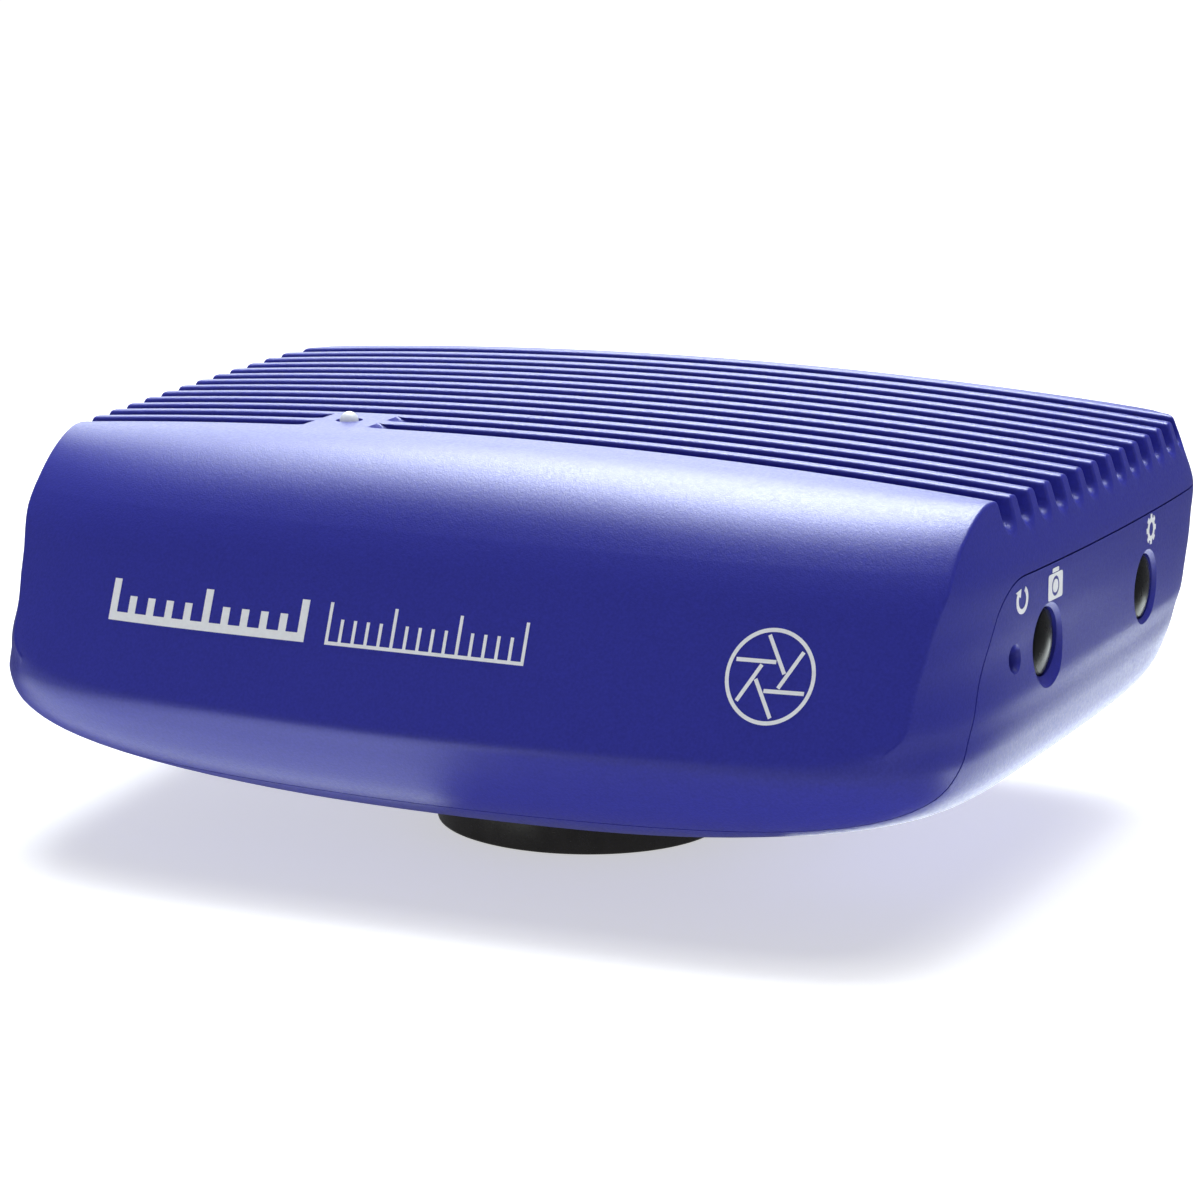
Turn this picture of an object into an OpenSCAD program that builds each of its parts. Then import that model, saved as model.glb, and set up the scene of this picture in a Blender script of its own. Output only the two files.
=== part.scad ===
// Microscope camera with a finned, crowned upper shell, a bowl-shaped lower shell and a C-mount ring below.
// Origin: centre of the ring's bottom face, on the optical axis. +Z up, +X to the button side, front is -Y.

/* [Body] */
// Width over the widest part of the sides, mm
body_w = 171; // [165:0.5:177]
// Height of the crown above the ring's bottom face, mm
crown_z = 67.2; // [66.6:0.1:68]
// How far the top falls from its middle to the ends of the fins, mm
crown_drop = 3.6; // [3:0.1:4.2]
// Wall thickness of both shells, mm
wall = 2.6; // [2.2:0.1:3]
// Height at which the upper and lower shells meet along the sides, mm
parting_z = 52.4; // [51.5:0.1:53.5]

/* [Cooling fins] */
// Spacing of the grooves, mm
groove_pitch = 6.96; // [6.6:0.04:7]
// Width of a groove, mm
groove_w = 4.3; // [3.4:0.1:4.8]
// Depth of a groove, mm
groove_depth = 4.4; // [3.4:0.1:4.8]

/* [Mount ring] */
// Outer diameter of the black ring, mm
ring_d = 47.2; // [46:0.1:49]
// Wall diameter of the 1 inch by 32 threads per inch hole, mm
thread_bore_d = 24.6; // [24.4:0.1:25.4]
// Length of the threaded wall, mm
thread_len = 4.2; // [3.8:0.1:5]

/* [Buttons] */
// Diameter of the two side buttons, mm
button_d = 10.4; // [9.6:0.1:10.6]
// How far a button travels, mm
button_travel = 0.5; // [0.3:0.1:0.6]

/* [Hidden] */
$fn = 48;

seat_z = 8;                    // underside of the lower shell where the ring sits
fin_half = 80;                 // half-length that the crown's fall is measured over
groove_n = 13;
first_groove_y = -27.5;        // front edge of the first groove
arch_r = fin_half * fin_half / (2 * crown_drop);
ceiling_z = crown_z - groove_depth - 2.8;

// Levels of the outer form, from the seat up. Each is the height at mid-width, the rise at the ends,
// how much narrower than the widest it is per side, its front, its back, and how square its front and
// back corners are. The form runs past the sloping front and the crown, which then cut it.
FORM = [
    [seat_z, 0, 58.5, -24, 26, 2.2, 2.2],
    [8.4, 0.9, 48.5, -32, 34, 2.6, 2.6],
    [10.2, 2.6, 33.5, -42, 44, 3.4, 3.2],
    [12.3, 3.9, 20, -49.5, 52, 4.6, 4],
    [15, 4.8, 7, -55.4, 58, 6.4, 5.4],
    [18.2, 5.3, 1.9, -59.4, 61.5, 7.2, 7],
    [22.5, 5.5, 0.6, -62.4, 64, 7.4, 9],
    [26.8, 5.4, 0.3, -64.4, 65.2, 6.8, 11],
    [31, 4.6, 0, -67, 65.8, 6.2, 13],
    [36, 3.4, 0, -69, 66, 5.6, 15],
    [42, 2.2, 0, -70, 66, 5.2, 18],
    [47, 1, 0.3, -70, 66, 5, 20],
    [52.4, 0, 0.2, -70, 65.9, 5, 24],
    [58, 0, 1.8, -70, 65.2, 5, 24],
    [64, 0, 3.8, -70, 64, 5.4, 24],
    [71, 0, 6.1, -70, 62.4, 5.8, 24]];
edge_pts = 6;                  // points from the middle of a side to its corner

// Sloping front: a straight slope, then a fillet into the crown
front_slope = 0.4186;          // travel back per millimetre up
crease_y = -65.15;
crease_z = 26.8;
fillet_r = 27;
fillet_steps = 10;
front_bow = 6;                 // how far the ends of the front sit back from its middle
bow_half = 75;
bow_power = 5;
sweep_half = 96;
sweep_steps = 24;

// The sides close in towards the front, more so higher up
function side_taper(y, z) =
    1 - (0.038 + 0.024 * max(0, min(1, (z - 22) / 14))) * pow((y - 65) / 95, 2);
function edge_step(i) = 1 - pow(1 - i / edge_pts, 1.6);
function other(v, n) = pow(1 - pow(v, n), 1 / n);
// Quarter of a unit rounded square, from the middle of one side to just short of the next
function quarter(n) =
    let (d = pow(2, -1 / n))
    concat(
        [for (i = [0 : edge_pts]) [other(d * edge_step(i), n), d * edge_step(i)]],
        [for (i = [edge_pts - 1 : -1 : 1]) [d * edge_step(i), other(d * edge_step(i), n)]]);
function level_ring(lv) =
    let (
        back = quarter(lv[6]),
        front = quarter(lv[5]),
        unit = concat(
            [for (p = back) p],
            [for (p = back) [-p[1], p[0]]],
            [for (p = front) [-p[0], -p[1]]],
            [for (p = front) [p[1], -p[0]]])
    )
    [for (p = unit)
        let (
            y = (lv[3] + lv[4]) / 2 + (lv[4] - lv[3]) / 2 * p[1],
            x = (body_w / 2 - lv[2]) * side_taper(y, lv[0]) * p[0]
        )
        [x, y, lv[0] + lv[1] * pow(x / fin_half, 2)]];

// The same levels moved inwards by the wall, square to the local slope of the back
function level_angle(i) =
    let (a = FORM[max(i - 1, 0)], b = FORM[min(i + 1, len(FORM) - 1)])
    i == 0 ? 0 : atan2(b[0] - a[0], max(b[4] - a[4], 0));
HOLLOW = [for (i = [0 : len(FORM) - 1])
    let (lv = FORM[i], up = wall * cos(level_angle(i)), in = wall * sin(level_angle(i)))
    [lv[0] + up, lv[1], lv[2] + in, lv[3] + in, lv[4] - in, lv[5], lv[6]]];
floor_z = seat_z + wall;

// Profile of the front and crown at mid-width as [y, z, bow, fall], closed below and behind
front_angle = atan(front_slope);
function front_profile(in, top_z) =
    let (
        y_in = in / cos(front_angle),
        r = fillet_r - in,
        corner_y = crease_y + y_in + front_slope * (top_z - crease_z),
        t = r * tan((90 - front_angle) / 2),
        c = [corner_y + t, top_z - r],
        low_z = 2
    )
    concat(
        [[crease_y + y_in - front_slope * (crease_z - low_z), low_z, front_bow, 0]],
        [for (i = [0 : fillet_steps])
            let (a = 180 - front_angle - i * (90 - front_angle) / fillet_steps, s = sin(a))
            [c[0] + r * cos(a), c[1] + r * s, front_bow * (1 - pow(i / fillet_steps, 3)), crown_drop * s * s]],
        [[80, top_z, 0, crown_drop], [80, low_z, 0, 0]]);

// Side of the lower shell at button height, for a given y
button_z = 40.5;
function side_x(y) =
    let (lv = FORM[10], mid = (lv[3] + lv[4]) / 2, half = (lv[4] - lv[3]) / 2, n = y < mid ? lv[5] : lv[6])
    body_w / 2 * side_taper(y, button_z) * other(abs(y - mid) / half, n);

// Parting profile in the YZ plane
part_corner_y = -30.8;
part_slope = 0.681;            // forward travel per millimetre down
part_r = 12;
part_angle = atan(part_slope);
part_tan = part_r * tan((90 - part_angle) / 2);

// Controls
snap_y = -15;
menu_y = 31;
reset_y = -28;
reset_d = 3.6;
rim_depth = 0.6;
switch_face_x = 76.5;
switch_back_x = 73;
plunger_tip_x = 77.4;
board_t = 1.6;
button_clear = 0.15;
flange_t = 1;
flange_rim = 1.4;
pin_flange_t = 0.6;
pin_flange_r = 3.2;
control_wall = 2.8;            // flat pad behind each button hole, measured in from the side

// Screws between the shells
shell_screw_at = [[64, 46], [-64, 46], [58, -30], [-58, -30]];
pillar_top_z = 41;
screw_seat_z = 35;
screw_r = 1.5;
m3_clear_r = 1.7;

// Sensor stack
sensor_plane_z = 17.526;       // standard distance from the mount's flange to the sensor
window_z = 16.6;
window_t = 0.7;
sensor_t = 2.1;
sensor_board_z = window_z + window_t + sensor_t;
carrier_t = 2.5;
carrier_top_z = floor_z + carrier_t;
ring_screw_pcd = 38;
m25_clear_r = 1.4;
spigot_r = 17;
spigot_top_z = 12;
sensor_post_at = 15;

// Main board
main_z = 30;
main_top_z = main_z + board_t;
standoff_z = 21;
main_x0 = -60;
main_x1 = 60;
main_y0 = -24;
main_y1 = 58.8;
main_post_at = [[-52, 40], [54, 18], [-52, -16], [54, -16]];
chip_t = 1.6;
pad_t = 1;
chip_y = 8;

// Status light
led_x = -31.8;
led_y = -21.8;
led_roof_z = crown_z - crown_drop * pow(led_x / fin_half, 2);
pipe_r = 1.5;
pipe_seat_z = ceiling_z - 1.6;
status_z = 54;
status_t = 1;

// Rear ports, each [x, width, height, depth]
panel_y = 63.2;
USB_C = [-45, 9, 3.3, 8];
USB_A = [[-30, 13.1, 7, 14], [-12.5, 13.1, 7, 14]];
HDMI = [6, 15, 6, 11.5];
JACK = [26.5, 16, 13.4, 21];
CARD = [42, 13, 1.9, 13];
port_gap = 0.2;
panel_t = 2;
panel_gap = 0.1;
panel_x0 = -54;
panel_x1 = 53;
panel_z0 = 26.8;
panel_z1 = 49.4;
ledge_t = 2;
ledge_w = 4;                   // width of the ledge that the panel sits on
panel_screw_at = [for (x = [panel_x0 + 3.2, panel_x1 - 3.2]) for (z = [panel_z0 + 2.1, panel_z1 - 2.1]) [x, z]];

// ---------- shapes shared by the nodes ----------

module loft(levels) {
    n = 8 * edge_pts;
    m = len(levels);
    points = [for (lv = levels) each level_ring(lv)];
    sides = [for (i = [0 : m - 2]) for (j = [0 : n - 1])
        let (a = i * n + j, b = i * n + (j + 1) % n)
        each [[b, a, a + n], [b, a + n, b + n]]];
    base = [for (j = [0 : n - 1]) j];
    top = [for (j = [n - 1 : -1 : 0]) (m - 1) * n + j];
    polyhedron(points, concat([base], sides, [top]), convexity = 6);
}

// Everything behind the sloping front and below the crown
module front_and_crown(profile) {
    n = len(profile);
    m = sweep_steps + 1;
    points = [for (i = [0 : m - 1]) for (p = profile)
        let (x = sweep_half * (2 * i / sweep_steps - 1))
        [x, p[0] + p[2] * pow(abs(x) / bow_half, bow_power), p[1] - p[3] * pow(x / fin_half, 2)]];
    sides = [for (i = [0 : m - 2]) for (j = [0 : n - 1])
        let (a = i * n + j, b = i * n + (j + 1) % n)
        each [[a, b, b + n], [a, b + n, a + n]]];
    first = [for (j = [n - 1 : -1 : 0]) j];
    last = [for (j = [0 : n - 1]) (m - 1) * n + j];
    polyhedron(points, concat([first], sides, [last]), convexity = 4);
}

module body() {
    intersection() {
        loft(FORM);
        front_and_crown(front_profile(0, crown_z));
    }
}

module hollow() {
    intersection() {
        loft(HOLLOW);
        front_and_crown(front_profile(wall, ceiling_z));
    }
}

// Region of the YZ plane that belongs to the lower shell, swept across the width
module lower_region() {
    c = [part_corner_y + part_tan, parting_z - part_r];
    slope_pt = c + part_r * [-cos(part_angle), sin(part_angle)];
    low_z = -10;
    rotate([90, 0, 90])
        linear_extrude(height = 2 * body_w, center = true)
            union() {
                translate(c) circle(r = part_r, $fn = 96);
                polygon([c, c + [0, part_r], [100, parting_z], [100, low_z],
                    [slope_pt[0] - part_slope * (slope_pt[1] - low_z), low_z], slope_pt]);
            }
}

module groove_profile() {
    top_r = arch_r + 3;
    floor_r = arch_r - groove_depth;
    for (i = [0 : groove_n - 1])
        translate([0, -(first_groove_y + i * groove_pitch + groove_w / 2)])
            union() {
                translate([floor_r + groove_w / 2, 0]) circle(d = groove_w, $fn = 32);
                translate([floor_r + groove_w / 2, -groove_w / 2])
                    square([top_r - floor_r - groove_w / 2, groove_w]);
            }
}

module grooves() {
    span = 13;
    difference() {
        translate([0, 0, crown_z - arch_r])
            rotate([90, 0, 0])
                rotate([0, 0, 90 - span / 2])
                    rotate_extrude(angle = span, $fn = 720)
                        groove_profile();
        translate([led_x - 7.5, first_groove_y - 1, crown_z - 12])
            cube([15, 2 * groove_pitch, 16]);
    }
}

module at_ring_screws(z) {
    for (a = [0 : 90 : 270]) rotate([0, 0, a]) translate([ring_screw_pcd / 2, 0, z]) children();
}

module at_sensor_corners(z) {
    for (sx = [-1, 1]) for (sy = [-1, 1])
        translate([sx * sensor_post_at, sy * sensor_post_at, z]) children();
}

module along_x(x, y, z) {
    translate([x, y, z]) rotate([0, 90, 0]) children();
}

module screw(r, length, head_r, head_h) {
    difference() {
        union() {
            translate([0, 0, -length]) cylinder(r = r, h = length + 0.01);
            cylinder(r = head_r, h = head_h);
        }
        translate([0, 0, head_h - 0.6 * head_h]) cylinder(r = head_r * 0.5, h = head_h, $fn = 6);
    }
}

module box_port(p, z, front_y) {
    translate([p[0] - p[1] / 2, front_y - p[3], z]) cube([p[1], p[3], p[2]]);
}

module port_hole(p, z) {
    translate([p[0] - p[1] / 2 - port_gap, panel_y - 6, z - port_gap])
        cube([p[1] + 2 * port_gap, 12, p[2] + 2 * port_gap]);
}

// ---------- housing ----------

module upper_shell() {
    color([0.17, 0.18, 0.56])
    difference() {
        union() {
            difference() {
                body();
                hollow();
            }
            intersection() {
                body();
                union() {
                    for (p = shell_screw_at)
                        translate([p[0], p[1], pillar_top_z]) cylinder(r = 4, h = ceiling_z - pillar_top_z);
                    for (sx = [-1, 1])
                        translate([sx * 25, chip_y, ceiling_z - 9]) cylinder(r = 3.5, h = 10);
                    for (sx = [-1, 1])
                        translate([led_x + sx * 7, led_y, status_z + status_t])
                            cylinder(r = 2.2, h = ceiling_z - status_z);
                    translate([led_x, led_y, pipe_seat_z]) cylinder(r = 3, h = 5);
                }
            }
        }
        difference() {
            lower_region();
            for (p = shell_screw_at)
                translate([p[0], p[1], pillar_top_z]) cylinder(r = 4, h = 30);
        }
        grooves();
        for (p = shell_screw_at)
            translate([p[0], p[1], pillar_top_z - 1]) cylinder(r = screw_r, h = 13);
        for (sx = [-1, 1]) {
            translate([sx * 25, chip_y, ceiling_z - 10]) cylinder(r = 1.25, h = 8);
            translate([led_x + sx * 7, led_y, status_z]) cylinder(r = 0.9, h = 5);
        }
        translate([led_x, led_y, ceiling_z - 8]) cylinder(r = pipe_r + 0.05, h = 20);
    }
}

module lower_shell() {
    color([0.15, 0.20, 0.60])
    difference() {
        union() {
            intersection() {
                lower_region();
                difference() {
                    body();
                    hollow();
                }
            }
            intersection() {
                body();
                union() {
                    for (p = shell_screw_at)
                        translate([p[0], p[1], 9]) cylinder(r = 4.6, h = pillar_top_z - 9);
                    for (p = main_post_at)
                        translate([p[0], p[1], 9]) cylinder(r = 3.4, h = standoff_z - 9);
                    panel_block(1.8, panel_y - panel_t - ledge_t, 5);
                    control_pad(snap_y, 8.5);
                    control_pad(menu_y, 8.5);
                    control_pad(reset_y, 5);
                    for (y = [4, 20]) along_x(switch_back_x, y, button_z) cylinder(r = 2.6, h = 10);
                }
            }
        }
        // seat of the ring and its screws
        translate([0, 0, 5]) cylinder(r = spigot_r + 0.1, h = 10);
        at_ring_screws(5) cylinder(r = m25_clear_r, h = 10);
        translate([-22.2, -22.2, floor_z]) cube([44.4, 44.4, carrier_t]);
        // screw wells from below
        for (p = shell_screw_at) {
            translate([p[0], p[1], 0]) cylinder(r = 3.2, h = screw_seat_z);
            translate([p[0], p[1], 0]) cylinder(r = m3_clear_r, h = pillar_top_z + 5);
        }
        for (p = main_post_at)
            translate([p[0], p[1], standoff_z - 6]) cylinder(r = 1.25, h = 10);
        // seat of the rear panel, the opening inside its ledge and the panel's screws
        panel_block(0, panel_y - panel_t, 12);
        panel_block(-ledge_w, panel_y - panel_t - ledge_t - 1, 12);
        for (q = panel_screw_at)
            translate([q[0], panel_y, q[1]]) rotate([90, 0, 0]) cylinder(r = 1, h = 8);
        // button holes with their dished rims
        button_hole(snap_y, button_d / 2 + button_clear);
        button_hole(menu_y, button_d / 2 + button_clear);
        along_x(side_x(reset_y) - 12, reset_y, button_z) cylinder(r = reset_d / 2 + 0.1, h = 20);
        for (y = [snap_y, menu_y])
            flange_pocket(side_x(y) - control_wall, y, button_d / 2 + flange_rim + 0.3);
        flange_pocket(plunger_tip_x + pin_flange_t + 0.05, reset_y, pin_flange_r + 0.3);
        for (y = [4, 20]) along_x(switch_back_x - 1, y, button_z) cylinder(r = 0.9, h = 6.5);
    }
}

// Block the size of the rear panel, grown all round by `grow`, from y over `depth`
module panel_block(grow, y, depth) {
    translate([panel_x0 - grow, y, panel_z0 - grow])
        cube([panel_x1 - panel_x0 + 2 * grow, depth, panel_z1 - panel_z0 + 2 * grow]);
}

// Flat-bottomed room behind the wall for a button's flange
module flange_pocket(x, y, r) {
    along_x(x - 7, y, button_z) cylinder(r = r, h = 7);
}

module control_pad(y, r) {
    along_x(side_x(y) - control_wall, y, button_z) cylinder(r = r, h = 4);
}

module button_hole(y, r) {
    along_x(side_x(y) - 12, y, button_z) cylinder(r = r, h = 20);
    along_x(side_x(y) - rim_depth, y, button_z) cylinder(r1 = r, r2 = r + 1.5, h = 2 * rim_depth);
}

module housing_screws() {
    color([0.2, 0.2, 0.22])
    for (p = shell_screw_at)
        translate([p[0], p[1], screw_seat_z]) rotate([180, 0, 0]) screw(screw_r - 0.05, 14, 2.9, 2.6);
}

// ---------- mount ring and optics ----------

module mount_ring() {
    color([0.05, 0.05, 0.055])
    difference() {
        union() {
            cylinder(r1 = ring_d / 2 - 0.6, r2 = ring_d / 2, h = 0.6, $fn = 160);
            translate([0, 0, 0.6]) cylinder(d = ring_d, h = seat_z - 0.6, $fn = 160);
            translate([0, 0, 7]) cylinder(r = spigot_r, h = spigot_top_z - 7, $fn = 120);
        }
        translate([0, 0, -1]) cylinder(d = thread_bore_d, h = thread_len + 1, $fn = 120);
        translate([0, 0, 4]) cylinder(r = 11.2, h = 1.6, $fn = 96);
        translate([0, 0, 5]) cylinder(r = 9, h = 8, $fn = 96);
        translate([0, 0, 7.2]) cylinder(r = 11.05, h = 8, $fn = 96);
        at_ring_screws(2.4) cylinder(r = 1.25, h = 10);
    }
}

module mount_ring_screws() {
    color([0.2, 0.2, 0.22])
    at_ring_screws(carrier_top_z) screw(1.2, 9.5, 2.2, 1.8);
}

module sensor_carrier() {
    color([0.6, 0.6, 0.62])
    difference() {
        union() {
            translate([-22, -22, floor_z]) cube([44, 44, carrier_t]);
            at_sensor_corners(floor_z) cylinder(r = 2.6, h = sensor_board_z - floor_z);
        }
        translate([0, 0, floor_z - 1]) cylinder(r = spigot_r + 0.1, h = spigot_top_z - floor_z + 1.1);
        translate([0, 0, floor_z - 1]) cylinder(r = 11.3, h = 2 * carrier_t);
        at_ring_screws(floor_z - 1) cylinder(r = m25_clear_r, h = 2 * carrier_t);
        at_sensor_corners(sensor_board_z - 5) cylinder(r = 1, h = 6);
    }
}

module filter_seal() {
    color([0.08, 0.08, 0.08])
    translate([0, 0, 7.6]) rotate_extrude($fn = 96) translate([10.2, 0]) circle(r = 0.4, $fn = 24);
}

module filter_glass() {
    color([0.6, 0.75, 0.85, 0.4])
    translate([0, 0, 8]) cylinder(r = 10.9, h = 1.1, $fn = 96);
}

module filter_retainer() {
    color([0.06, 0.06, 0.06])
    difference() {
        translate([0, 0, 9.1]) cylinder(r = 11, h = 2.2, $fn = 96);
        translate([0, 0, 8]) cylinder(r = 9.4, h = 5, $fn = 96);
        for (a = [0, 180]) rotate([0, 0, a]) translate([9, -0.6, 10.4]) cube([3, 1.2, 2]);
    }
}

module sensor_board() {
    color([0.05, 0.3, 0.16])
    difference() {
        translate([-18.5, -18.5, sensor_board_z]) cube([37, 37, board_t]);
        at_sensor_corners(10) cylinder(r = 1.1, h = 20);
    }
}

module sensor_board_screws() {
    color([0.7, 0.7, 0.72])
    at_sensor_corners(sensor_board_z + board_t) screw(0.95, 4.6, 1.9, 1.4);
}

module image_sensor() {
    color([0.12, 0.12, 0.13])
    difference() {
        translate([-8, -7, window_z + window_t]) cube([16, 14, sensor_t]);
        translate([-6, -5, window_z]) cube([12, 10, sensor_plane_z - window_z]);
    }
}

module sensor_window() {
    color([0.7, 0.8, 0.85, 0.4])
    translate([-7.6, -6.6, window_z]) cube([15.2, 13.2, window_t]);
}

// One connector on the sensor board, one under the main board
conn_h = 2.2;
conn_y = 6;
module sensor_connectors() {
    color([0.85, 0.82, 0.7])
    for (z = [sensor_board_z + board_t, main_z - conn_h])
        difference() {
            translate([-8, conn_y - 4, z]) cube([16, 5, conn_h]);
            translate([-7, conn_y - 1, z + conn_h / 2 - 0.2]) cube([14, 4, 0.4]);
        }
}

// Flat ribbon that leaves both connectors rearwards and turns back on itself
module sensor_ribbon() {
    lo = sensor_board_z + board_t + conn_h / 2;
    hi = main_z - conn_h / 2;
    mid = (lo + hi) / 2;
    r = (hi - lo) / 2;
    t = 0.3;
    bend_y = 15;
    color([0.8, 0.55, 0.2])
    translate([-6.8, 0, 0]) rotate([90, 0, 90]) linear_extrude(height = 13.6)
        union() {
            for (z = [lo, hi]) translate([conn_y - 0.9, z - t / 2]) square([bend_y - conn_y + 0.91, t]);
            translate([bend_y, mid]) difference() {
                circle(r = r + t / 2, $fn = 64);
                circle(r = r - t / 2, $fn = 64);
                translate([-20, -20]) square([20, 40]);
            }
        }
}

// ---------- main board ----------

module main_board() {
    color([0.05, 0.3, 0.16])
    difference() {
        translate([main_x0, main_y0, main_z]) cube([main_x1 - main_x0, main_y1 - main_y0, board_t]);
        for (p = main_post_at) translate([p[0], p[1], main_z - 2]) cylinder(r = 1.4, h = 6);
        for (p = shell_screw_at) translate([p[0], p[1], main_z - 2]) cylinder(r = 6, h = 6);
    }
}

module main_board_standoffs() {
    color([0.75, 0.6, 0.25])
    for (p = main_post_at) translate([p[0], p[1], 0])
        difference() {
            union() {
                translate([0, 0, standoff_z]) cylinder(r = 2.9, h = main_z - standoff_z, $fn = 6);
                translate([0, 0, standoff_z - 5]) cylinder(r = 1.2, h = 6);
            }
            translate([0, 0, main_z - 5]) cylinder(r = 1.25, h = 6);
        }
}

module main_board_screws() {
    color([0.7, 0.7, 0.72])
    for (p = main_post_at) translate([p[0], p[1], main_top_z]) screw(1.2, 5.5, 2.3, 1.7);
}

module processor() {
    color([0.1, 0.1, 0.1])
    union() {
        translate([-10, chip_y - 10, main_top_z]) cube([20, 20, chip_t * 0.5]);
        translate([-8, chip_y - 8, main_top_z]) cube([16, 16, chip_t]);
    }
}

module processor_pad() {
    color([0.55, 0.6, 0.7])
    translate([-8, chip_y - 8, main_top_z + chip_t]) cube([16, 16, pad_t]);
}

module memory_chips() {
    color([0.1, 0.1, 0.1])
    for (x = [-34, 24]) for (y = [-4, 14])
        translate([x, y - 6, main_top_z]) cube([9, 13, 1.2]);
}

spreader_z = main_top_z + chip_t + pad_t;
spreader_top_z = ceiling_z - 0.35 - pad_t;
module heat_spreader() {
    color([0.72, 0.73, 0.75])
    difference() {
        union() {
            translate([-9, chip_y - 9, spreader_z]) cube([18, 18, spreader_top_z - spreader_z]);
            translate([-20, chip_y - 16, spreader_top_z - 5]) cube([40, 32, 5]);
            translate([-29, chip_y - 4, ceiling_z - 12]) cube([58, 8, 3]);
        }
        for (sx = [-1, 1]) translate([sx * 25, chip_y, ceiling_z - 20]) cylinder(r = 1.5, h = 20);
    }
}

module spreader_pad() {
    color([0.55, 0.6, 0.7])
    translate([-18, chip_y - 15, spreader_top_z]) cube([36, 30, pad_t]);
}

module spreader_screws() {
    color([0.7, 0.7, 0.72])
    for (sx = [-1, 1])
        translate([sx * 25, chip_y, ceiling_z - 12]) rotate([180, 0, 0]) screw(1.2, 8, 2.3, 1.7);
}

// ---------- controls ----------

module button_board() {
    color([0.05, 0.3, 0.16])
    difference() {
        translate([switch_back_x - board_t, -36, button_z - 6]) cube([board_t, 78, 12]);
        for (y = [4, 20]) along_x(switch_back_x - 3, y, button_z) cylinder(r = 1.1, h = 5);
    }
}

module button_board_screws() {
    color([0.7, 0.7, 0.72])
    for (y = [4, 20])
        translate([switch_back_x - board_t, y, button_z]) rotate([0, -90, 0]) screw(0.85, 6, 1.9, 1.3);
}

module switch_bodies() {
    color([0.15, 0.15, 0.16])
    for (y = [reset_y, snap_y, menu_y])
        difference() {
            translate([switch_back_x, y - 3, button_z - 3]) cube([switch_face_x - switch_back_x, 6, 6]);
            along_x(switch_back_x + 1, y, button_z) cylinder(r = 1.6, h = 5);
        }
}

module plunger(y) {
    color([0.8, 0.8, 0.78])
    along_x(plunger_tip_x - 2.8, y, button_z) cylinder(r = 1.55, h = 2.8);
}

// Domed cap with a retaining flange behind the wall and a stem on to the switch
module push_button(y) {
    sx = side_x(y);
    r = button_d / 2;
    flange_x = sx - control_wall - flange_t;
    edge_x = sx - rim_depth - 0.1;
    dome_h = 0.9;
    dome_r = (r * r + dome_h * dome_h) / (2 * dome_h);
    color([0.04, 0.04, 0.045])
    along_x(plunger_tip_x, y, button_z)
        union() {
            cylinder(r = 2, h = flange_x - plunger_tip_x + 0.1);
            translate([0, 0, flange_x - plunger_tip_x]) cylinder(r = r + flange_rim, h = flange_t);
            translate([0, 0, flange_x - plunger_tip_x]) cylinder(r = r, h = edge_x - flange_x);
            intersection() {
                translate([0, 0, edge_x - plunger_tip_x - 0.1]) cylinder(r = r, h = 3);
                translate([0, 0, edge_x - plunger_tip_x + dome_h - dome_r]) sphere(r = dome_r, $fn = 96);
            }
        }
}

module snap_button() { push_button(snap_y); }
module menu_button() { push_button(menu_y); }
module snap_plunger() { plunger(snap_y); }
module menu_plunger() { plunger(menu_y); }
module reset_plunger() { plunger(reset_y); }

module reset_pin() {
    sx = side_x(reset_y);
    color([0.04, 0.04, 0.045])
    union() {
        along_x(plunger_tip_x, reset_y, button_z) cylinder(r = pin_flange_r, h = pin_flange_t);
        along_x(plunger_tip_x, reset_y, button_z) cylinder(r = reset_d / 2, h = sx - 1.6 - plunger_tip_x);
    }
}

// ---------- status light ----------

module light_pipe() {
    dome_h = 1.4;
    dome_r = (pipe_r * pipe_r + dome_h * dome_h) / (2 * dome_h);
    color([0.92, 0.93, 0.95])
    translate([led_x, led_y, 0])
        union() {
            translate([0, 0, status_z + 2.8]) cylinder(r = pipe_r, h = led_roof_z - status_z - 2.8);
            translate([0, 0, pipe_seat_z - 1]) cylinder(r = 2.3, h = 1);
            intersection() {
                translate([0, 0, led_roof_z - 0.1]) cylinder(r = pipe_r, h = 2);
                translate([0, 0, led_roof_z + dome_h - dome_r]) sphere(r = dome_r, $fn = 48);
            }
        }
}

module status_led() {
    color([0.95, 0.95, 0.85])
    difference() {
        translate([led_x - 1.6, led_y - 1.4, status_z + status_t]) cube([3.2, 2.8, 1.6]);
        translate([led_x, led_y, status_z + status_t + 1]) cylinder(r = 1, h = 1);
    }
}

module status_board() {
    color([0.05, 0.3, 0.16])
    difference() {
        translate([led_x - 10, led_y - 4, status_z]) cube([20, 8, status_t]);
        for (sx = [-1, 1]) translate([led_x + sx * 7, led_y, status_z - 1]) cylinder(r = 1, h = 5);
    }
}

module status_board_screws() {
    color([0.7, 0.7, 0.72])
    for (sx = [-1, 1])
        translate([led_x + sx * 7, led_y, status_z]) rotate([180, 0, 0]) screw(0.85, 4.5, 1.7, 1.2);
}

// ---------- rear panel and ports ----------

module rear_panel() {
    color([0.09, 0.09, 0.1])
    difference() {
        panel_block(-panel_gap, panel_y - panel_t, panel_t);
        port_hole(USB_C, main_top_z);
        for (p = USB_A) port_hole(p, main_top_z);
        port_hole(HDMI, main_top_z);
        port_hole(JACK, main_top_z);
        port_hole(CARD, main_top_z);
        for (q = panel_screw_at)
            translate([q[0], panel_y - 1.1, q[1]]) rotate([90, 0, 0]) {
                cylinder(r = 1.1, h = 3);
                translate([0, 0, -2]) cylinder(r = 1.75, h = 2);
            }
    }
}

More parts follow.
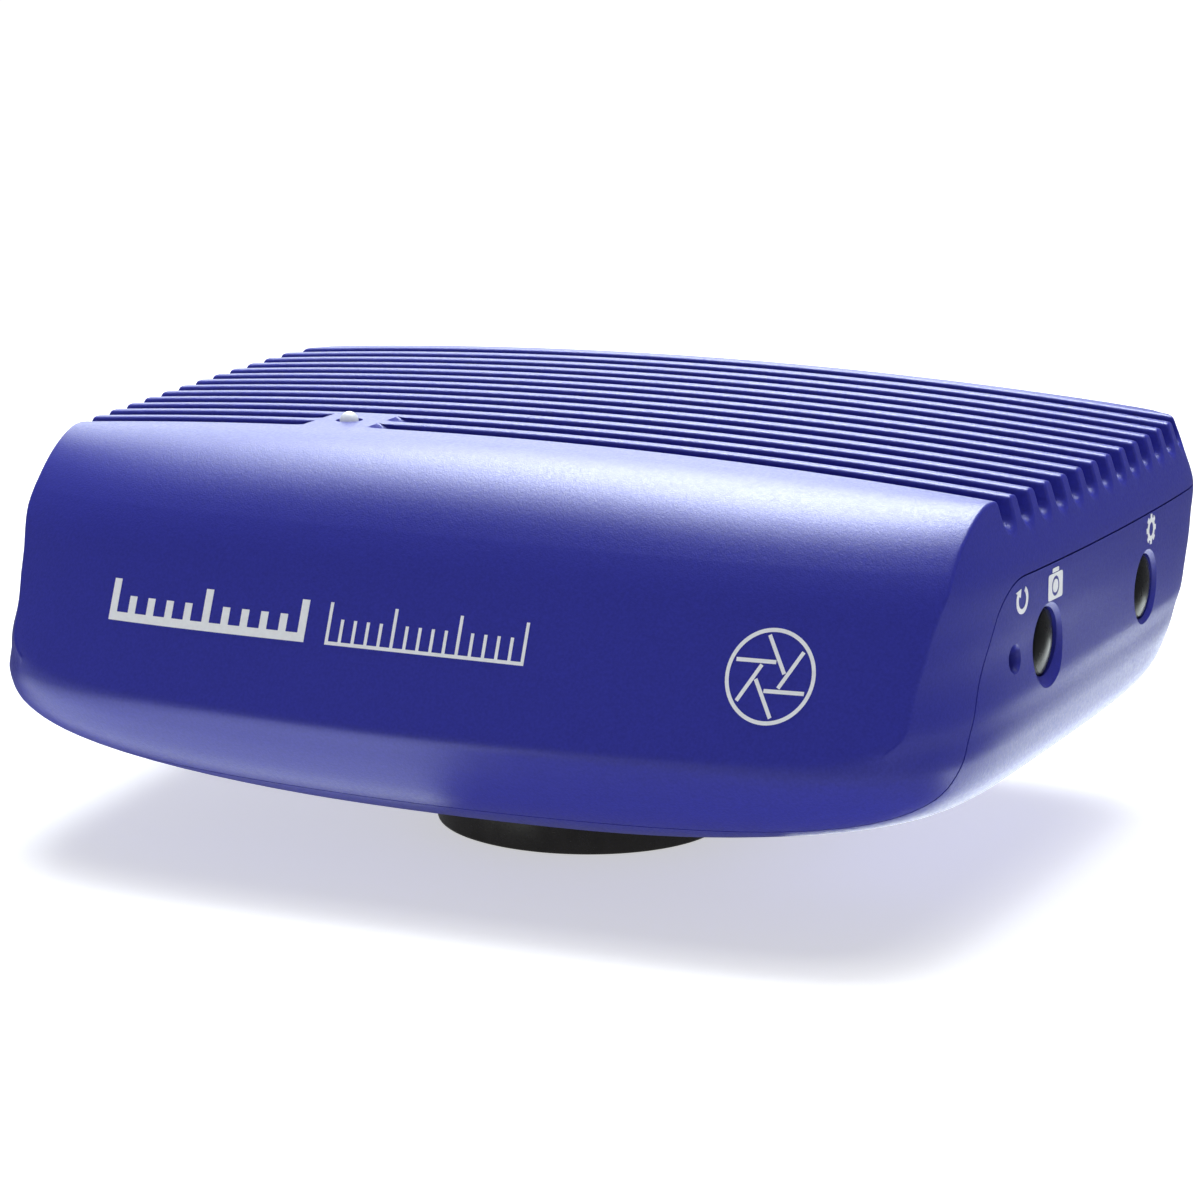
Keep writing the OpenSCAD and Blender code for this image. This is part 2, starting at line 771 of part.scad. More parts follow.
module rear_panel_screws() {
    color([0.2, 0.2, 0.22])
    for (q = panel_screw_at)
        translate([q[0], panel_y - 1.1, q[1]]) rotate([-90, 0, 0]) screw(0.95, 2.7, 1.6, 1.1);
}

module usb_c_port() {
    p = USB_C;
    h = p[2];
    w = p[1];
    color([0.75, 0.76, 0.78])
    translate([p[0], panel_y, main_top_z + h / 2]) rotate([90, 0, 0])
        union() {
            difference() {
                round_bar(w, h, p[3]);
                translate([0, 0, -1]) round_bar(w - 0.7, h - 0.7, p[3] - 1);
            }
            translate([-3.2, -0.35, 0.8]) cube([6.4, 0.7, p[3] - 1]);
        }
}

module round_bar(w, h, l) {
    union() {
        for (s = [-1, 1]) translate([s * (w - h) / 2, 0, 0]) cylinder(d = h, h = l);
        translate([-(w - h) / 2, -h / 2, 0]) cube([w - h, h, l]);
    }
}

module usb_a_ports() {
    color([0.75, 0.76, 0.78])
    for (p = USB_A)
        union() {
            difference() {
                box_port(p, main_top_z, panel_y);
                translate([p[0] - p[1] / 2 + 0.4, panel_y - p[3] + 1.5, main_top_z + 1.4])
                    cube([p[1] - 0.8, p[3], p[2] - 1.8]);
            }
            translate([p[0] - 5.6, panel_y - p[3] + 1, main_top_z + p[2] - 2.6]) cube([11.2, p[3] - 2, 1.8]);
        }
}

module hdmi_port() {
    p = HDMI;
    w = p[1] / 2 - 0.5;
    h = p[2] - 1;
    color([0.75, 0.76, 0.78])
    union() {
        difference() {
            box_port(p, main_top_z, panel_y);
            translate([p[0], panel_y + 1, main_top_z + 0.5]) rotate([90, 0, 0])
                linear_extrude(height = p[3] - 0.5)
                    polygon([[-w + 1.8, 0], [w - 1.8, 0], [w - 1.4, 1.2], [w, 2.4], [w, h], [-w, h], [-w, 2.4],
                        [-w + 1.4, 1.2]]);
        }
        translate([p[0] - 5, panel_y - p[3] + 0.5, main_top_z + 2.6]) cube([10, p[3] - 2, 1]);
    }
}

module ethernet_jack() {
    p = JACK;
    color([0.72, 0.73, 0.75])
    difference() {
        box_port(p, main_top_z, panel_y);
        translate([p[0] - 5.9, panel_y - 13, main_top_z + 4]) cube([11.8, 14, 7.4]);
        translate([p[0] - 3, panel_y - 13, main_top_z + 2.2]) cube([6, 14, 3]);
        translate([p[0] - 1.7, panel_y - 13, main_top_z + 1]) cube([3.4, 14, 3]);
    }
}

module card_slot() {
    p = CARD;
    color([0.75, 0.76, 0.78])
    difference() {
        box_port(p, main_top_z, panel_y - 0.6);
        translate([p[0] - 5.6, panel_y - p[3] + 1, main_top_z + 0.5]) cube([11.2, p[3], 0.9]);
    }
}

upper_shell();
lower_shell();
housing_screws();
mount_ring();
mount_ring_screws();
sensor_carrier();
filter_seal();
filter_glass();
filter_retainer();
sensor_board();
sensor_board_screws();
image_sensor();
sensor_window();
sensor_connectors();
sensor_ribbon();
main_board();
main_board_standoffs();
main_board_screws();
processor();
processor_pad();
memory_chips();
heat_spreader();
spreader_pad();
spreader_screws();
button_board();
button_board_screws();
switch_bodies();
snap_button();
snap_plunger();
menu_button();
menu_plunger();
reset_pin();
reset_plunger();
status_board();
status_board_screws();
status_led();
light_pipe();
rear_panel();
rear_panel_screws();
usb_c_port();
usb_a_ports();
hdmi_port();
ethernet_jack();
card_slot();
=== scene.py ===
import math

import bmesh
import bpy
import numpy as np
from mathutils import Matrix, Vector
from mathutils.geometry import delaunay_2d_cdt


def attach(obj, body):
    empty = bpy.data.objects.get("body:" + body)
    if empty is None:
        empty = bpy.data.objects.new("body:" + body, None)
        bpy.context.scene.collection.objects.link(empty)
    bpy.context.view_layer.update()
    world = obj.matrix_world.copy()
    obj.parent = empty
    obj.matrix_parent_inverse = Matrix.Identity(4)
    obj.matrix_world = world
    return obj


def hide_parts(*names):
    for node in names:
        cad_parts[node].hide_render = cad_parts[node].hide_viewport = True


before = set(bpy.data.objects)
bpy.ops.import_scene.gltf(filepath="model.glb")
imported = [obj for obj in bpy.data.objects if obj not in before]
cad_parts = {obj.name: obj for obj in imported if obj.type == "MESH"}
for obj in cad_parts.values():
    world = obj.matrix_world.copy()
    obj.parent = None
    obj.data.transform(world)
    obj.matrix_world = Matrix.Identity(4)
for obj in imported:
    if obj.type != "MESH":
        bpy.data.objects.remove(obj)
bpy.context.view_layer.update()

# Lengths below are in millimetres, as in the CAD model, and become metres when a mesh is made.
MM = 0.001
COLLECTION = bpy.context.scene.collection

# ---- Outer form of the housing: the same levels and formulas as the CAD model, sampled finely ----

BODY_W = 171.0
CROWN_Z = 67.2
CROWN_DROP = 3.6
FIN_HALF = 80.0
WALL = 2.6
SEAT_Z = 8.0

# height at mid-width, rise at the ends, inset per side, front, back, front squareness, back squareness
FORM = np.array([
    [8, 0, 58.5, -24, 26, 2.2, 2.2],
    [8.4, 0.9, 48.5, -32, 34, 2.6, 2.6],
    [10.2, 2.6, 33.5, -42, 44, 3.4, 3.2],
    [12.3, 3.9, 20, -49.5, 52, 4.6, 4],
    [15, 4.8, 7, -55.4, 58, 6.4, 5.4],
    [18.2, 5.3, 1.9, -59.4, 61.5, 7.2, 7],
    [22.5, 5.5, 0.6, -62.4, 64, 7.4, 9],
    [26.8, 5.4, 0.3, -64.4, 65.2, 6.8, 11],
    [31, 4.6, 0, -67, 65.8, 6.2, 13],
    [36, 3.4, 0, -69, 66, 5.6, 15],
    [42, 2.2, 0, -70, 66, 5.2, 18],
    [47, 1, 0.07, -70, 66, 5, 20],
    [52.4, 0, 0.2, -70, 65.9, 5, 24],
    [58, 0, 1.8, -70, 65.2, 5, 24],
    [64, 0, 3.8, -70, 64, 5.4, 24],
    [71, 0, 6.1, -70, 62.4, 5.8, 24]], float)
BAND_LEVEL = 12.7  # level just below the ends of the grooves

FRONT_SLOPE = 0.4186
CREASE_Y = -65.15
CREASE_Z = 26.8
FILLET_R = 27.0
FRONT_BOW = 6.0
BOW_HALF = 75.0
BOW_POWER = 5
FRONT_LOW_Z = 2.0  # foot of the line that the front's slope follows
TAPER_Z, TAPER_RISE = 18, 22  # height where the side's extra taper starts, and its length
TAPER, TAPER_MORE = 0.038, 0.024
TAPER_Y, TAPER_LENGTH = 65, 95
SLOPE_LIMIT = 2.5  # steepest curve between two rows of the table
LEVEL_SAMPLES = 1501
END_START, END_STEPS = 0.9, 6  # search for a level's end
CUT_STEPS = 50  # halvings in the search for a front corner

GROOVE_PITCH = 6.96
GROOVE_W = 4.3
GROOVE_DEPTH = 4.4
GROOVE_N = 13
FIRST_GROOVE_Y = -27.5
FIN_T = GROOVE_PITCH - GROOVE_W
FIN_EDGE_R = 0.75  # rounding along the top edges of the fins

LED_X = -31.8
LED_Y = -21.8


def hermite(table, t):
    """Rows of the table at fractional indices t, joined by smooth curves that never overshoot."""
    t = np.clip(np.asarray(t, float), 0, len(table) - 1)
    step = np.diff(table, axis=0)
    slope = np.zeros_like(table)
    slope[1:-1] = np.where(step[:-1] * step[1:] > 0, (step[:-1] + step[1:]) / 2, 0)
    slope[0], slope[-1] = step[0], step[-1]
    before, after = np.vstack([step[:1], step]), np.vstack([step, step[-1:]])
    limit = SLOPE_LIMIT * np.minimum(np.abs(before), np.abs(after))
    slope = np.clip(slope, -limit, limit)
    i = np.minimum(t.astype(int), len(table) - 2)
    f = (t - i)[..., None]
    a, b, ma, mb = table[i], table[i + 1], slope[i], slope[i + 1]
    return (a * (1 + 2 * f) * (1 - f) ** 2 + ma * f * (1 - f) ** 2
            + b * f ** 2 * (3 - 2 * f) + mb * f ** 2 * (f - 1))


def corner(v, n):
    """The other coordinate of a unit rounded square of squareness n."""
    return (1 - np.clip(np.abs(v), 0, 1) ** n) ** (1 / n)


def soft_max(a, b, k):
    """The larger of a and b, with the change from one to the other rounded over k."""
    h = np.maximum(k - np.abs(a - b), 0) / max(k, 1e-6)
    return np.maximum(a, b) + h * h * k / 4


class Form:
    """Outer form moved inwards by `inset`, with its crown at top_z."""

    def __init__(self, inset, top_z):
        self.top_z = top_z
        self.slope_angle = math.atan(FRONT_SLOPE)
        self.table = FORM.copy()
        if inset:
            for i in range(1, len(FORM)):
                a, b = FORM[i - 1], FORM[min(i + 1, len(FORM) - 1)]
                angle = math.atan2(b[0] - a[0], max(b[4] - a[4], 0))
                self.table[i, 0] += inset * math.cos(angle)
                self.table[i, 2:4] += inset * math.sin(angle)
                self.table[i, 4] -= inset * math.sin(angle)
            self.table[0, 0] += inset
        y_in = inset / math.cos(self.slope_angle)
        self.r = FILLET_R - inset
        corner_y = CREASE_Y + y_in + FRONT_SLOPE * (top_z - CREASE_Z)
        self.cy = corner_y + self.r * math.tan((math.pi / 2 - self.slope_angle) / 2)
        self.cz = top_z - self.r
        self.low_y = CREASE_Y + y_in - FRONT_SLOPE * (CREASE_Z - FRONT_LOW_Z)
        self.levels = np.linspace(0, len(FORM) - 1, LEVEL_SAMPLES)
        self.heights = hermite(self.table, self.levels)[:, 0]

    def crown(self, x):
        """Height of the crown at x."""
        return self.top_z - CROWN_DROP * (x / FIN_HALF) ** 2

    def fillet(self, x, a):
        """Point of the front's fillet at angle a above level, from the slope's angle to 90 degrees."""
        s = np.sin(a)
        along = np.clip((a - self.slope_angle) / (math.pi / 2 - self.slope_angle), 0, 1)
        bow = FRONT_BOW * (1 - along ** 3) * np.abs(x / BOW_HALF) ** BOW_POWER
        drop = CROWN_DROP * s * s * (x / FIN_HALF) ** 2
        return self.cy - self.r * np.cos(a) + bow, self.cz + self.r * s - drop

    def fillet_angle(self, x, z):
        """Angle of the fillet where it passes height z."""
        k = CROWN_DROP * (x / FIN_HALF) ** 2
        s = 2 * (z - self.cz) / (self.r + np.sqrt(np.maximum(self.r ** 2 - 4 * k * (z - self.cz), 0)))
        return np.arcsin(np.clip(s, 0, 1))

    def front(self, x, z):
        """The sloping front's y at (x, z)."""
        top_y, top_z = self.fillet(x, self.slope_angle)
        low_y = self.low_y + FRONT_BOW * np.abs(x / BOW_HALF) ** BOW_POWER
        f = (z - FRONT_LOW_Z) / (top_z - FRONT_LOW_Z)
        on_slope = low_y + (top_y - low_y) * f
        on_fillet = self.fillet(x, self.fillet_angle(x, z))[0]
        return np.where(z > top_z, on_fillet, on_slope)

    def taper(self, y, z):
        """Share of the width that is left at (y, z): the sides draw in towards the front."""
        f = np.clip((z - TAPER_Z) / TAPER_RISE, 0, 1)
        return 1 - (TAPER + TAPER_MORE * f * f * (3 - 2 * f)) * ((y - TAPER_Y) / TAPER_LENGTH) ** 2

    def height(self, t, x):
        """Height of level t at x."""
        v = hermite(self.table, t)
        return v[..., 0] + v[..., 1] * (x / FIN_HALF) ** 2

    def row(self, t):
        """Values of level t, and the middle and half of its length."""
        v = hermite(self.table, t)
        return v, (v[..., 3] + v[..., 4]) / 2, (v[..., 4] - v[..., 3]) / 2

    def side(self, t, y):
        """Half-width of level t at y."""
        v, mid, half = self.row(t)
        n = np.where(y < mid, v[..., 5], v[..., 6])
        return (BODY_W / 2 - v[..., 2]) * self.taper(y, v[..., 0]) * corner((y - mid) / half, n)

    def end(self, t, x, sign):
        """y of the back (sign 1) or the uncut front (sign -1) of level t at x."""
        v, mid, half = self.row(t)
        n = v[..., 6] if sign > 0 else v[..., 5]
        y = mid + sign * half * END_START
        for _ in range(END_STEPS):
            wide = (BODY_W / 2 - v[..., 2]) * self.taper(y, v[..., 0])
            y = mid + sign * half * corner(x / wide, n)
        return y

    def back_corner(self, t):
        """Point of level t halfway round its back corner."""
        v, mid, half = self.row(t)
        y = mid + half * 2 ** (-1 / v[6])
        return float(self.side(t, y)), float(y)

    def front_corner(self, t):
        """Point of level t where the front meets the side: the corner of the level, or the front's cut."""
        v, mid, half = self.row(t)
        y = mid - half * 2 ** (-1 / v[5])
        x_low = float(self.side(t, y))
        lo, hi = x_low, BODY_W / 2

        def cut(x):
            return float(self.side(t, self.front(x, self.height(t, x)))) - x

        if cut(lo) <= 0 or float(self.front(lo, self.height(t, lo))) <= y:
            return x_low, float(y)
        for _ in range(CUT_STEPS):
            m = (lo + hi) / 2
            lo, hi = (m, hi) if cut(m) > 0 else (lo, m)
        return lo, float(self.front(lo, self.height(t, lo)))

    def level_of(self, z):
        """Level that passes height z at mid-width."""
        return np.interp(z, self.heights, self.levels)


# ---- Mesh of the form ----

REF_W = 77.0  # half-width over which the columns are laid out
FIXED_W = 50.0  # columns nearer the middle than this keep their x near the top
EDGE_R = 0.45  # rounding of the crisp edges
FLOOR_RUNOUT = 1.5  # rounding where a groove's floor runs out through the side
CREASE_K = 1.3  # rounding of the crease below the front
BEZIER_STEPS = 4  # edges round each rounded corner
FIN_EDGE_STEPS, GROOVE_STEPS = 4, 11  # rows round a fin's edge and round a groove's floor
SETTLE_LEVEL, SETTLE_SPAN = 8, 3  # levels over which the front's columns settle into place
CREASE_LEVEL, CREASE_SPAN = 8.4, 0.9  # levels over which the crease's rounding fades out
SIDE_SPACING = (0.45, 0.55)  # shares of even and of eased spacing along a side
BACK_SPACING = 1.8  # power that crowds the back's columns towards its corners
ROW_END_X, ROW_END_STEPS = 78.0, 12  # search for the end of a row across the crown
FILLET_ROWS = 15
FILLET_EDGE_X = 76.0  # where the direction of a fillet row's end is taken
FILLED_GROOVES = (0, 1)  # grooves that the land round the status light fills
PLAIN_ROWS, PLAIN_LENGTH = 9, 85.0  # rows of a crown without grooves
BACK_CORNER_X = 75.0  # where the crown's height at the back corners is taken
CORNER_SHARE = 0.7  # share of the edge's rounding that the back corners keep
CORNER_LENGTH = 3  # length of a row's end that stays in front of its corner
TURN_X, TURN_Y, TURN_SPAN = 60.0, 50.0, 20.0  # where the flattened band turns the back corners
LAND_RAMPS = (-40.6, -37.0, -26.0, -20.6)  # x of the ramps beside the status light
FLIP = np.array([-1, 1, 1])  # mirrors a point from one side to the other


def smooth_step(f):
    """0 to 1 as f goes from 0 to 1, level at both ends."""
    f = np.clip(f, 0, 1)
    return f * f * (3 - 2 * f)


def spread(ref, x_end, fixed):
    """Column positions up to x_end: scaled, or kept in place in the middle, by the share `fixed`."""
    outer = FIXED_W + (ref - FIXED_W) * (x_end - FIXED_W) / (REF_W - FIXED_W)
    return (1 - fixed) * ref * x_end / REF_W + fixed * np.where(ref <= FIXED_W, ref, outer)


def led_land(x):
    """1 over the flat land round the status light, 0 away from it, with a ramp at each end."""
    a, b, c, d = LAND_RAMPS
    return np.clip((x - a) / (b - a), 0, 1) * np.clip((d - x) / (d - c), 0, 1)


def groove_profile():
    """Profile of the crown across the grooves.

    Each row has y, depth, direction into the metal, rounding at its ends, and the groove's number.
    """
    rows = []
    r = FIN_EDGE_R
    half = GROOVE_W / 2
    for i in range(GROOVE_N):
        y0 = FIRST_GROOVE_Y + i * GROOVE_PITCH
        y1 = y0 + GROOVE_W
        for a in np.linspace(0, math.pi / 2, FIN_EDGE_STEPS):
            down, along = math.cos(a), math.sin(a)
            rows.append((y0 - r + r * along, r - r * down, -along, -down, EDGE_R, i))
        for a in np.linspace(0, math.pi, GROOVE_STEPS):
            down, along = math.sin(a), math.cos(a)
            rows.append((y0 + half - half * along, GROOVE_DEPTH - half + half * down,
                         -along, -down, EDGE_R + (FLOOR_RUNOUT - EDGE_R) * down ** 2, i))
        for a in np.linspace(math.pi / 2, 0, FIN_EDGE_STEPS):
            down, along = math.cos(a), math.sin(a)
            rows.append((y1 + r - r * along, r - r * down, along, -down, EDGE_R, i))
        if i < GROOVE_N - 1:
            rows.append((y1 + FIN_T / 2, 0, 0, -1, EDGE_R, -1))
    return rows


def bezier(p0, p1, p2):
    """Points between p0 and p2, on the curve that p1 pulls."""
    curve = np.arange(1, BEZIER_STEPS) / BEZIER_STEPS
    return [(1 - s) ** 2 * p0 + 2 * s * (1 - s) * p1 + s * s * p2 for s in curve]


class FormMesh:
    """One closed mesh of a form: rings from the seat up, rows over the crown, and a band that joins them."""

    def __init__(self, form, ref, levels, grooves, edge_r, side_n, back_n):
        self.form, self.ref, self.levels, self.edge_r = form, ref, levels, edge_r
        self.signed = np.concatenate([-ref[:0:-1], ref])
        self.verts, self.faces = [], []
        self.add_rings(side_n, back_n)
        rows = [self.first_row()] + self.fillet_rows()
        rows += self.grooved_rows() if grooves else self.plain_rows()
        rows += self.back_rows(groove_profile()[-1][0] if grooves else form.cy + PLAIN_LENGTH)
        for p, q in zip(rows[:-1], rows[1:]):
            for j in range(len(p) - 1):
                self.faces.append((p[j], p[j + 1], q[j + 1], q[j]))
        self.add_band(rows, self.back_edge(rows[-1]))

    def half_ring(self, t, side_f, back_f):
        """Right half of the ring at level t, from mid-front to mid-back."""
        form, edge_r = self.form, self.edge_r
        xc, yc = form.front_corner(t)
        xb, yb = form.back_corner(t)
        x = spread(self.ref, xc - edge_r, smooth_step((t - SETTLE_LEVEL) / SETTLE_SPAN))
        z = form.height(t, x)
        k = CREASE_K * (1 - smooth_step((t - CREASE_LEVEL) / CREASE_SPAN))
        y = soft_max(form.front(x, z), form.end(t, x, -1), k)
        front = np.stack([x, y, z], -1)
        y = yc + edge_r + (yb - yc - edge_r) * side_f
        x = form.side(t, y)
        side = np.stack([x, y, form.height(t, x)], -1)
        x = xb * back_f
        back = np.stack([x, form.end(t, x, 1), form.height(t, x)], -1)
        tip = np.array([xc, yc, float(form.height(t, xc))])
        return np.vstack([front, bezier(front[-1], tip, side[0]), side, back])

    def add_rings(self, side_n, back_n):
        """Rings from the seat to the top level, and the face that closes the seat."""
        even = np.linspace(0, 1, side_n)
        eased = 0.5 - 0.5 * np.cos(math.pi * even)
        side_f = SIDE_SPACING[0] * even + SIDE_SPACING[1] * eased
        back_f = 1 - (1 - np.linspace(1, 0, back_n)[1:]) ** BACK_SPACING
        half = [self.half_ring(t, side_f, back_f) for t in self.levels]
        h = len(half[0])
        m = 2 * h - 2
        for p in half:
            self.verts.extend(p)
            self.verts.extend(p[h - 2:0:-1] * FLIP)
        for i in range(len(self.levels) - 1):
            for j in range(m):
                a, b = i * m + j, i * m + (j + 1) % m
                self.faces.append((a, b, b + m, a + m))
        self.faces.append(tuple(range(m - 1, -1, -1)))
        last = (len(self.levels) - 1) * m
        self.ring_right = [last + j for j in range(h)]
        self.ring_left = [last + (m - j) % m for j in range(h)]

    def first_row(self):
        """The top ring's front, from its left corner to its right corner."""
        nf = len(self.ref)
        corner_steps = range(1, BEZIER_STEPS + 1)
        return ([self.ring_left[nf - 1 + i] for i in reversed(corner_steps)]
                + [self.ring_left[i] for i in range(nf - 1, 0, -1)]
                + [self.ring_right[i] for i in range(nf)]
                + [self.ring_right[nf - 1 + i] for i in corner_steps])

    def add_row(self, row, tip, foot):
        """Adds a row whose ends turn down past `tip` to `foot`, on both sides. Returns its indices."""
        base = len(self.verts)
        left = [p * FLIP for p in bezier(row[0] * FLIP, tip, foot)]
        right = bezier(row[-1], tip, foot)
        self.verts.extend([foot * FLIP] + left[::-1] + list(row) + right + [foot])
        return list(range(base, len(self.verts)))

    def side_under(self, x, y_of, z_of):
        """Half-width of the form at the height that the row has at x."""
        return float(self.form.side(self.form.level_of(z_of(x)), y_of(x)))

    def crown_row(self, y_of, z_of, n, r):
        """Row across the top, whose ends are rounded by r towards n, a direction (y, z) into the metal."""
        xe = ROW_END_X
        for _ in range(ROW_END_STEPS):
            xe = self.side_under(xe, y_of, z_of)
        x = np.sign(self.signed) * spread(np.abs(self.signed), xe - r, 1.0)
        row = np.stack([x, y_of(x), z_of(x)], -1)
        tip = np.array([xe, float(y_of(xe)), float(z_of(xe))])
        y, z = tip[1] + r * n[0], tip[2] + r * n[1]
        foot = np.array([float(self.form.side(self.form.level_of(z), y)), y, z])
        return self.add_row(row, tip, foot)

    def fillet_rows(self):
        form, rows = self.form, []
        z_start = float(form.height(self.levels[-1], 0.0))
        for f in np.linspace(0, 1, FILLET_ROWS)[1:]:
            def angle(x, f=f):
                a = form.fillet_angle(x, z_start)
                return a + (math.pi / 2 - a) * f
            a_edge = float(angle(FILLET_EDGE_X))
            rows.append(self.crown_row(lambda x: form.fillet(x, angle(x))[0],
                                       lambda x: form.fillet(x, angle(x))[1],
                                       (math.cos(a_edge), -math.sin(a_edge)), self.edge_r))
        return rows

    def grooved_rows(self):
        form = self.form
        first = FIRST_GROOVE_Y - FIN_EDGE_R
        rows = [self.crown_row(lambda x: 0 * x + (form.cy + first) / 2, form.crown, (0, -1), self.edge_r)]
        for y, depth, ny, nz, r, i in groove_profile():
            filled = i in FILLED_GROOVES

            def z_of(x, depth=depth, filled=filled):
                return form.crown(x) - depth * (1 - (led_land(x) if filled else 0))
            rows.append(self.crown_row(lambda x, y=y: 0 * x + y, z_of, (ny, nz), r))
        return rows

    def plain_rows(self):
        form = self.form
        return [self.crown_row(lambda x, f=f: 0 * x + form.cy + f * PLAIN_LENGTH,
                               form.crown, (0, -1), self.edge_r)
                for f in np.linspace(0, 1, PLAIN_ROWS)[1:-1]]

    def back_y(self, x):
        """y of the back at the crown's height."""
        return self.form.end(self.form.level_of(self.form.crown(x)), np.abs(x), 1)

    def back_rows(self, y_start):
        """Last strip of the crown, up to the back edge, whose ends go round the back corners."""
        form, edge_r, rows = self.form, self.edge_r, []
        xb, yb = form.back_corner(float(form.level_of(form.crown(BACK_CORNER_X))))
        for f in (0.25, 0.5, 0.75, 1.0):
            y_end = y_start + f * (yb - CORNER_SHARE * edge_r - y_start)
            y_tip = y_end + (CORNER_SHARE * edge_r if f == 1 else 0)
            xe = ROW_END_X
            for _ in range(ROW_END_STEPS):
                xe = self.side_under(xe, lambda x: y_tip, form.crown)
            x_end = xe - (CORNER_SHARE if f == 1 else 1.0) * edge_r
            x = np.sign(self.signed) * spread(np.abs(self.signed), x_end, 1.0)
            y = y_start + f * (self.back_y(x * xb / xe) - edge_r - y_start)
            y = np.where(np.abs(x) > xe - CORNER_LENGTH, np.minimum(y, y_end), y)
            row = np.stack([x, y, form.crown(x)], -1)
            tip = np.array([xe, y_tip, float(form.crown(xe))])
            low = tip[2] - edge_r
            foot = np.array([float(form.side(form.level_of(low), tip[1])), tip[1], low])
            rows.append(self.add_row(row, tip, foot))
        return rows

    def back_edge(self, row):
        """Rounded back edge, as columns that hang from the last row. Returns their indices."""
        form, k0 = self.form, BEZIER_STEPS
        top = row[k0:len(row) - k0]
        hang = [[row[k0 - i] for i in range(k0 + 1)]]
        for j in top[1:-1]:
            p0 = np.array(self.verts[j])
            tip = np.array([p0[0], float(self.back_y(np.array(p0[0]))), p0[2]])
            low = p0[2] - self.edge_r
            foot = np.array([p0[0], float(form.end(form.level_of(low), abs(p0[0]), 1)), low])
            base = len(self.verts)
            self.verts.extend(bezier(p0, tip, foot) + [foot])
            hang.append([j] + list(range(base, len(self.verts))))
        hang.append([row[len(row) - 1 - k0 + i] for i in range(k0 + 1)])
        for p, q in zip(hang[:-1], hang[1:]):
            for i in range(k0):
                self.faces.append((p[i], q[i], q[i + 1], p[i + 1]))
        return hang

    def add_band(self, rows, hang):
        """Triangles between the last ring and the ends of the rows, found on the band laid flat."""
        start, end = len(self.ref) - 1 + BEZIER_STEPS, len(self.ring_right)
        lower = self.ring_right[start:end] + self.ring_left[start:end - 1][::-1]
        upper = [r[-1] for r in rows[1:]] + [c[-1] for c in hang[-2:0:-1]] + [r[0] for r in rows[:0:-1]]
        loop = lower + upper[::-1]
        corner_end = TURN_Y + TURN_SPAN * math.pi / 2
        flat = []
        for v in loop:
            x, y, z = self.verts[v]
            along = y
            if y > TURN_Y and abs(x) >= TURN_X:
                along = TURN_Y + TURN_SPAN * math.atan2(y - TURN_Y, abs(x) - TURN_X)
            elif y > TURN_Y:
                along = corner_end + TURN_X - abs(x)
            flat.append(Vector((along if x > 0 else 2 * (corner_end + TURN_X) - along, z)))
        n = len(loop)
        for tri in fill(flat, [(i, (i + 1) % n) for i in range(n)]):
            self.faces.append(tuple(loop[i] for i in tri))


CDT_EPSILON = 1e-7


def fill(points, edges):
    """Triangles that fill the closed loops that the edges make, even-odd, by index."""
    n = len(points)
    got = delaunay_2d_cdt(points, edges, [], 0, CDT_EPSILON, True)
    if len(got[0]) != n:
        raise RuntimeError(f"outline crosses itself: {n} points became {len(got[0])}")
    origin = [ids[0] for ids in got[3]]
    a = np.array([points[i] for i, _ in edges])
    b = np.array([points[j] for _, j in edges])
    inside = []
    for face in got[2]:
        tri = [origin[i] for i in face]
        c = np.mean([points[i] for i in tri], axis=0)
        crosses = (a[:, 1] > c[1]) != (b[:, 1] > c[1])
        p, d = a[crosses], (b - a)[crosses]
        at = p[:, 0] + (c[1] - p[:, 1]) / d[:, 1] * d[:, 0]
        if np.count_nonzero(at > c[0]) % 2:
            inside.append(tuple(tri))
    return inside


# ---- Solids, cuts and joins ----

WELD, FINE_WELD = 1e-7, 1e-8  # metres


def make_object(name, verts, faces, weld=FINE_WELD, dissolve=False):
    """Object from vertices in mm, with doubles welded and the faces turned outwards."""
    mesh = bpy.data.meshes.new(name)
    mesh.from_pydata([tuple(float(c) * MM for c in p) for p in verts], [], faces)
    bm = bmesh.new()
    bm.from_mesh(mesh)
    bmesh.ops.remove_doubles(bm, verts=bm.verts, dist=weld)
    if dissolve:
        bmesh.ops.dissolve_degenerate(bm, edges=bm.edges, dist=FINE_WELD)
    bmesh.ops.recalc_face_normals(bm, faces=bm.faces)
    bm.to_mesh(mesh)
    bm.free()
    obj = bpy.data.objects.new(name, mesh)
    COLLECTION.objects.link(obj)
    return obj


def form_object(name, *layout):
    """Object of a form, laid out as FormMesh says."""
    built = FormMesh(*layout)
    return make_object(name, built.verts, built.faces)


def apply_modifiers(obj):
    """Replaces the mesh by what the modifiers make of it."""
    bpy.context.view_layer.update()
    baked = bpy.data.meshes.new_from_object(obj.evaluated_get(bpy.context.evaluated_depsgraph_get()))
    obj.modifiers.clear()
    obj.data = baked


def combine(obj, tools, operation):
    """Cuts or joins each tool in turn, then removes it."""
    for tool in tools:
        mod = obj.modifiers.new("combine", "BOOLEAN")
        mod.solver = "MANIFOLD"
        mod.operation = operation
        mod.object = tool
        apply_modifiers(obj)
        if not obj.data.polygons:
            raise RuntimeError(f"{obj.name} {operation} {tool.name} left nothing")
        bpy.data.objects.remove(tool)


def clone(obj, name):
    other = bpy.data.objects.new(name, obj.data.copy())
    COLLECTION.objects.link(other)
    return other


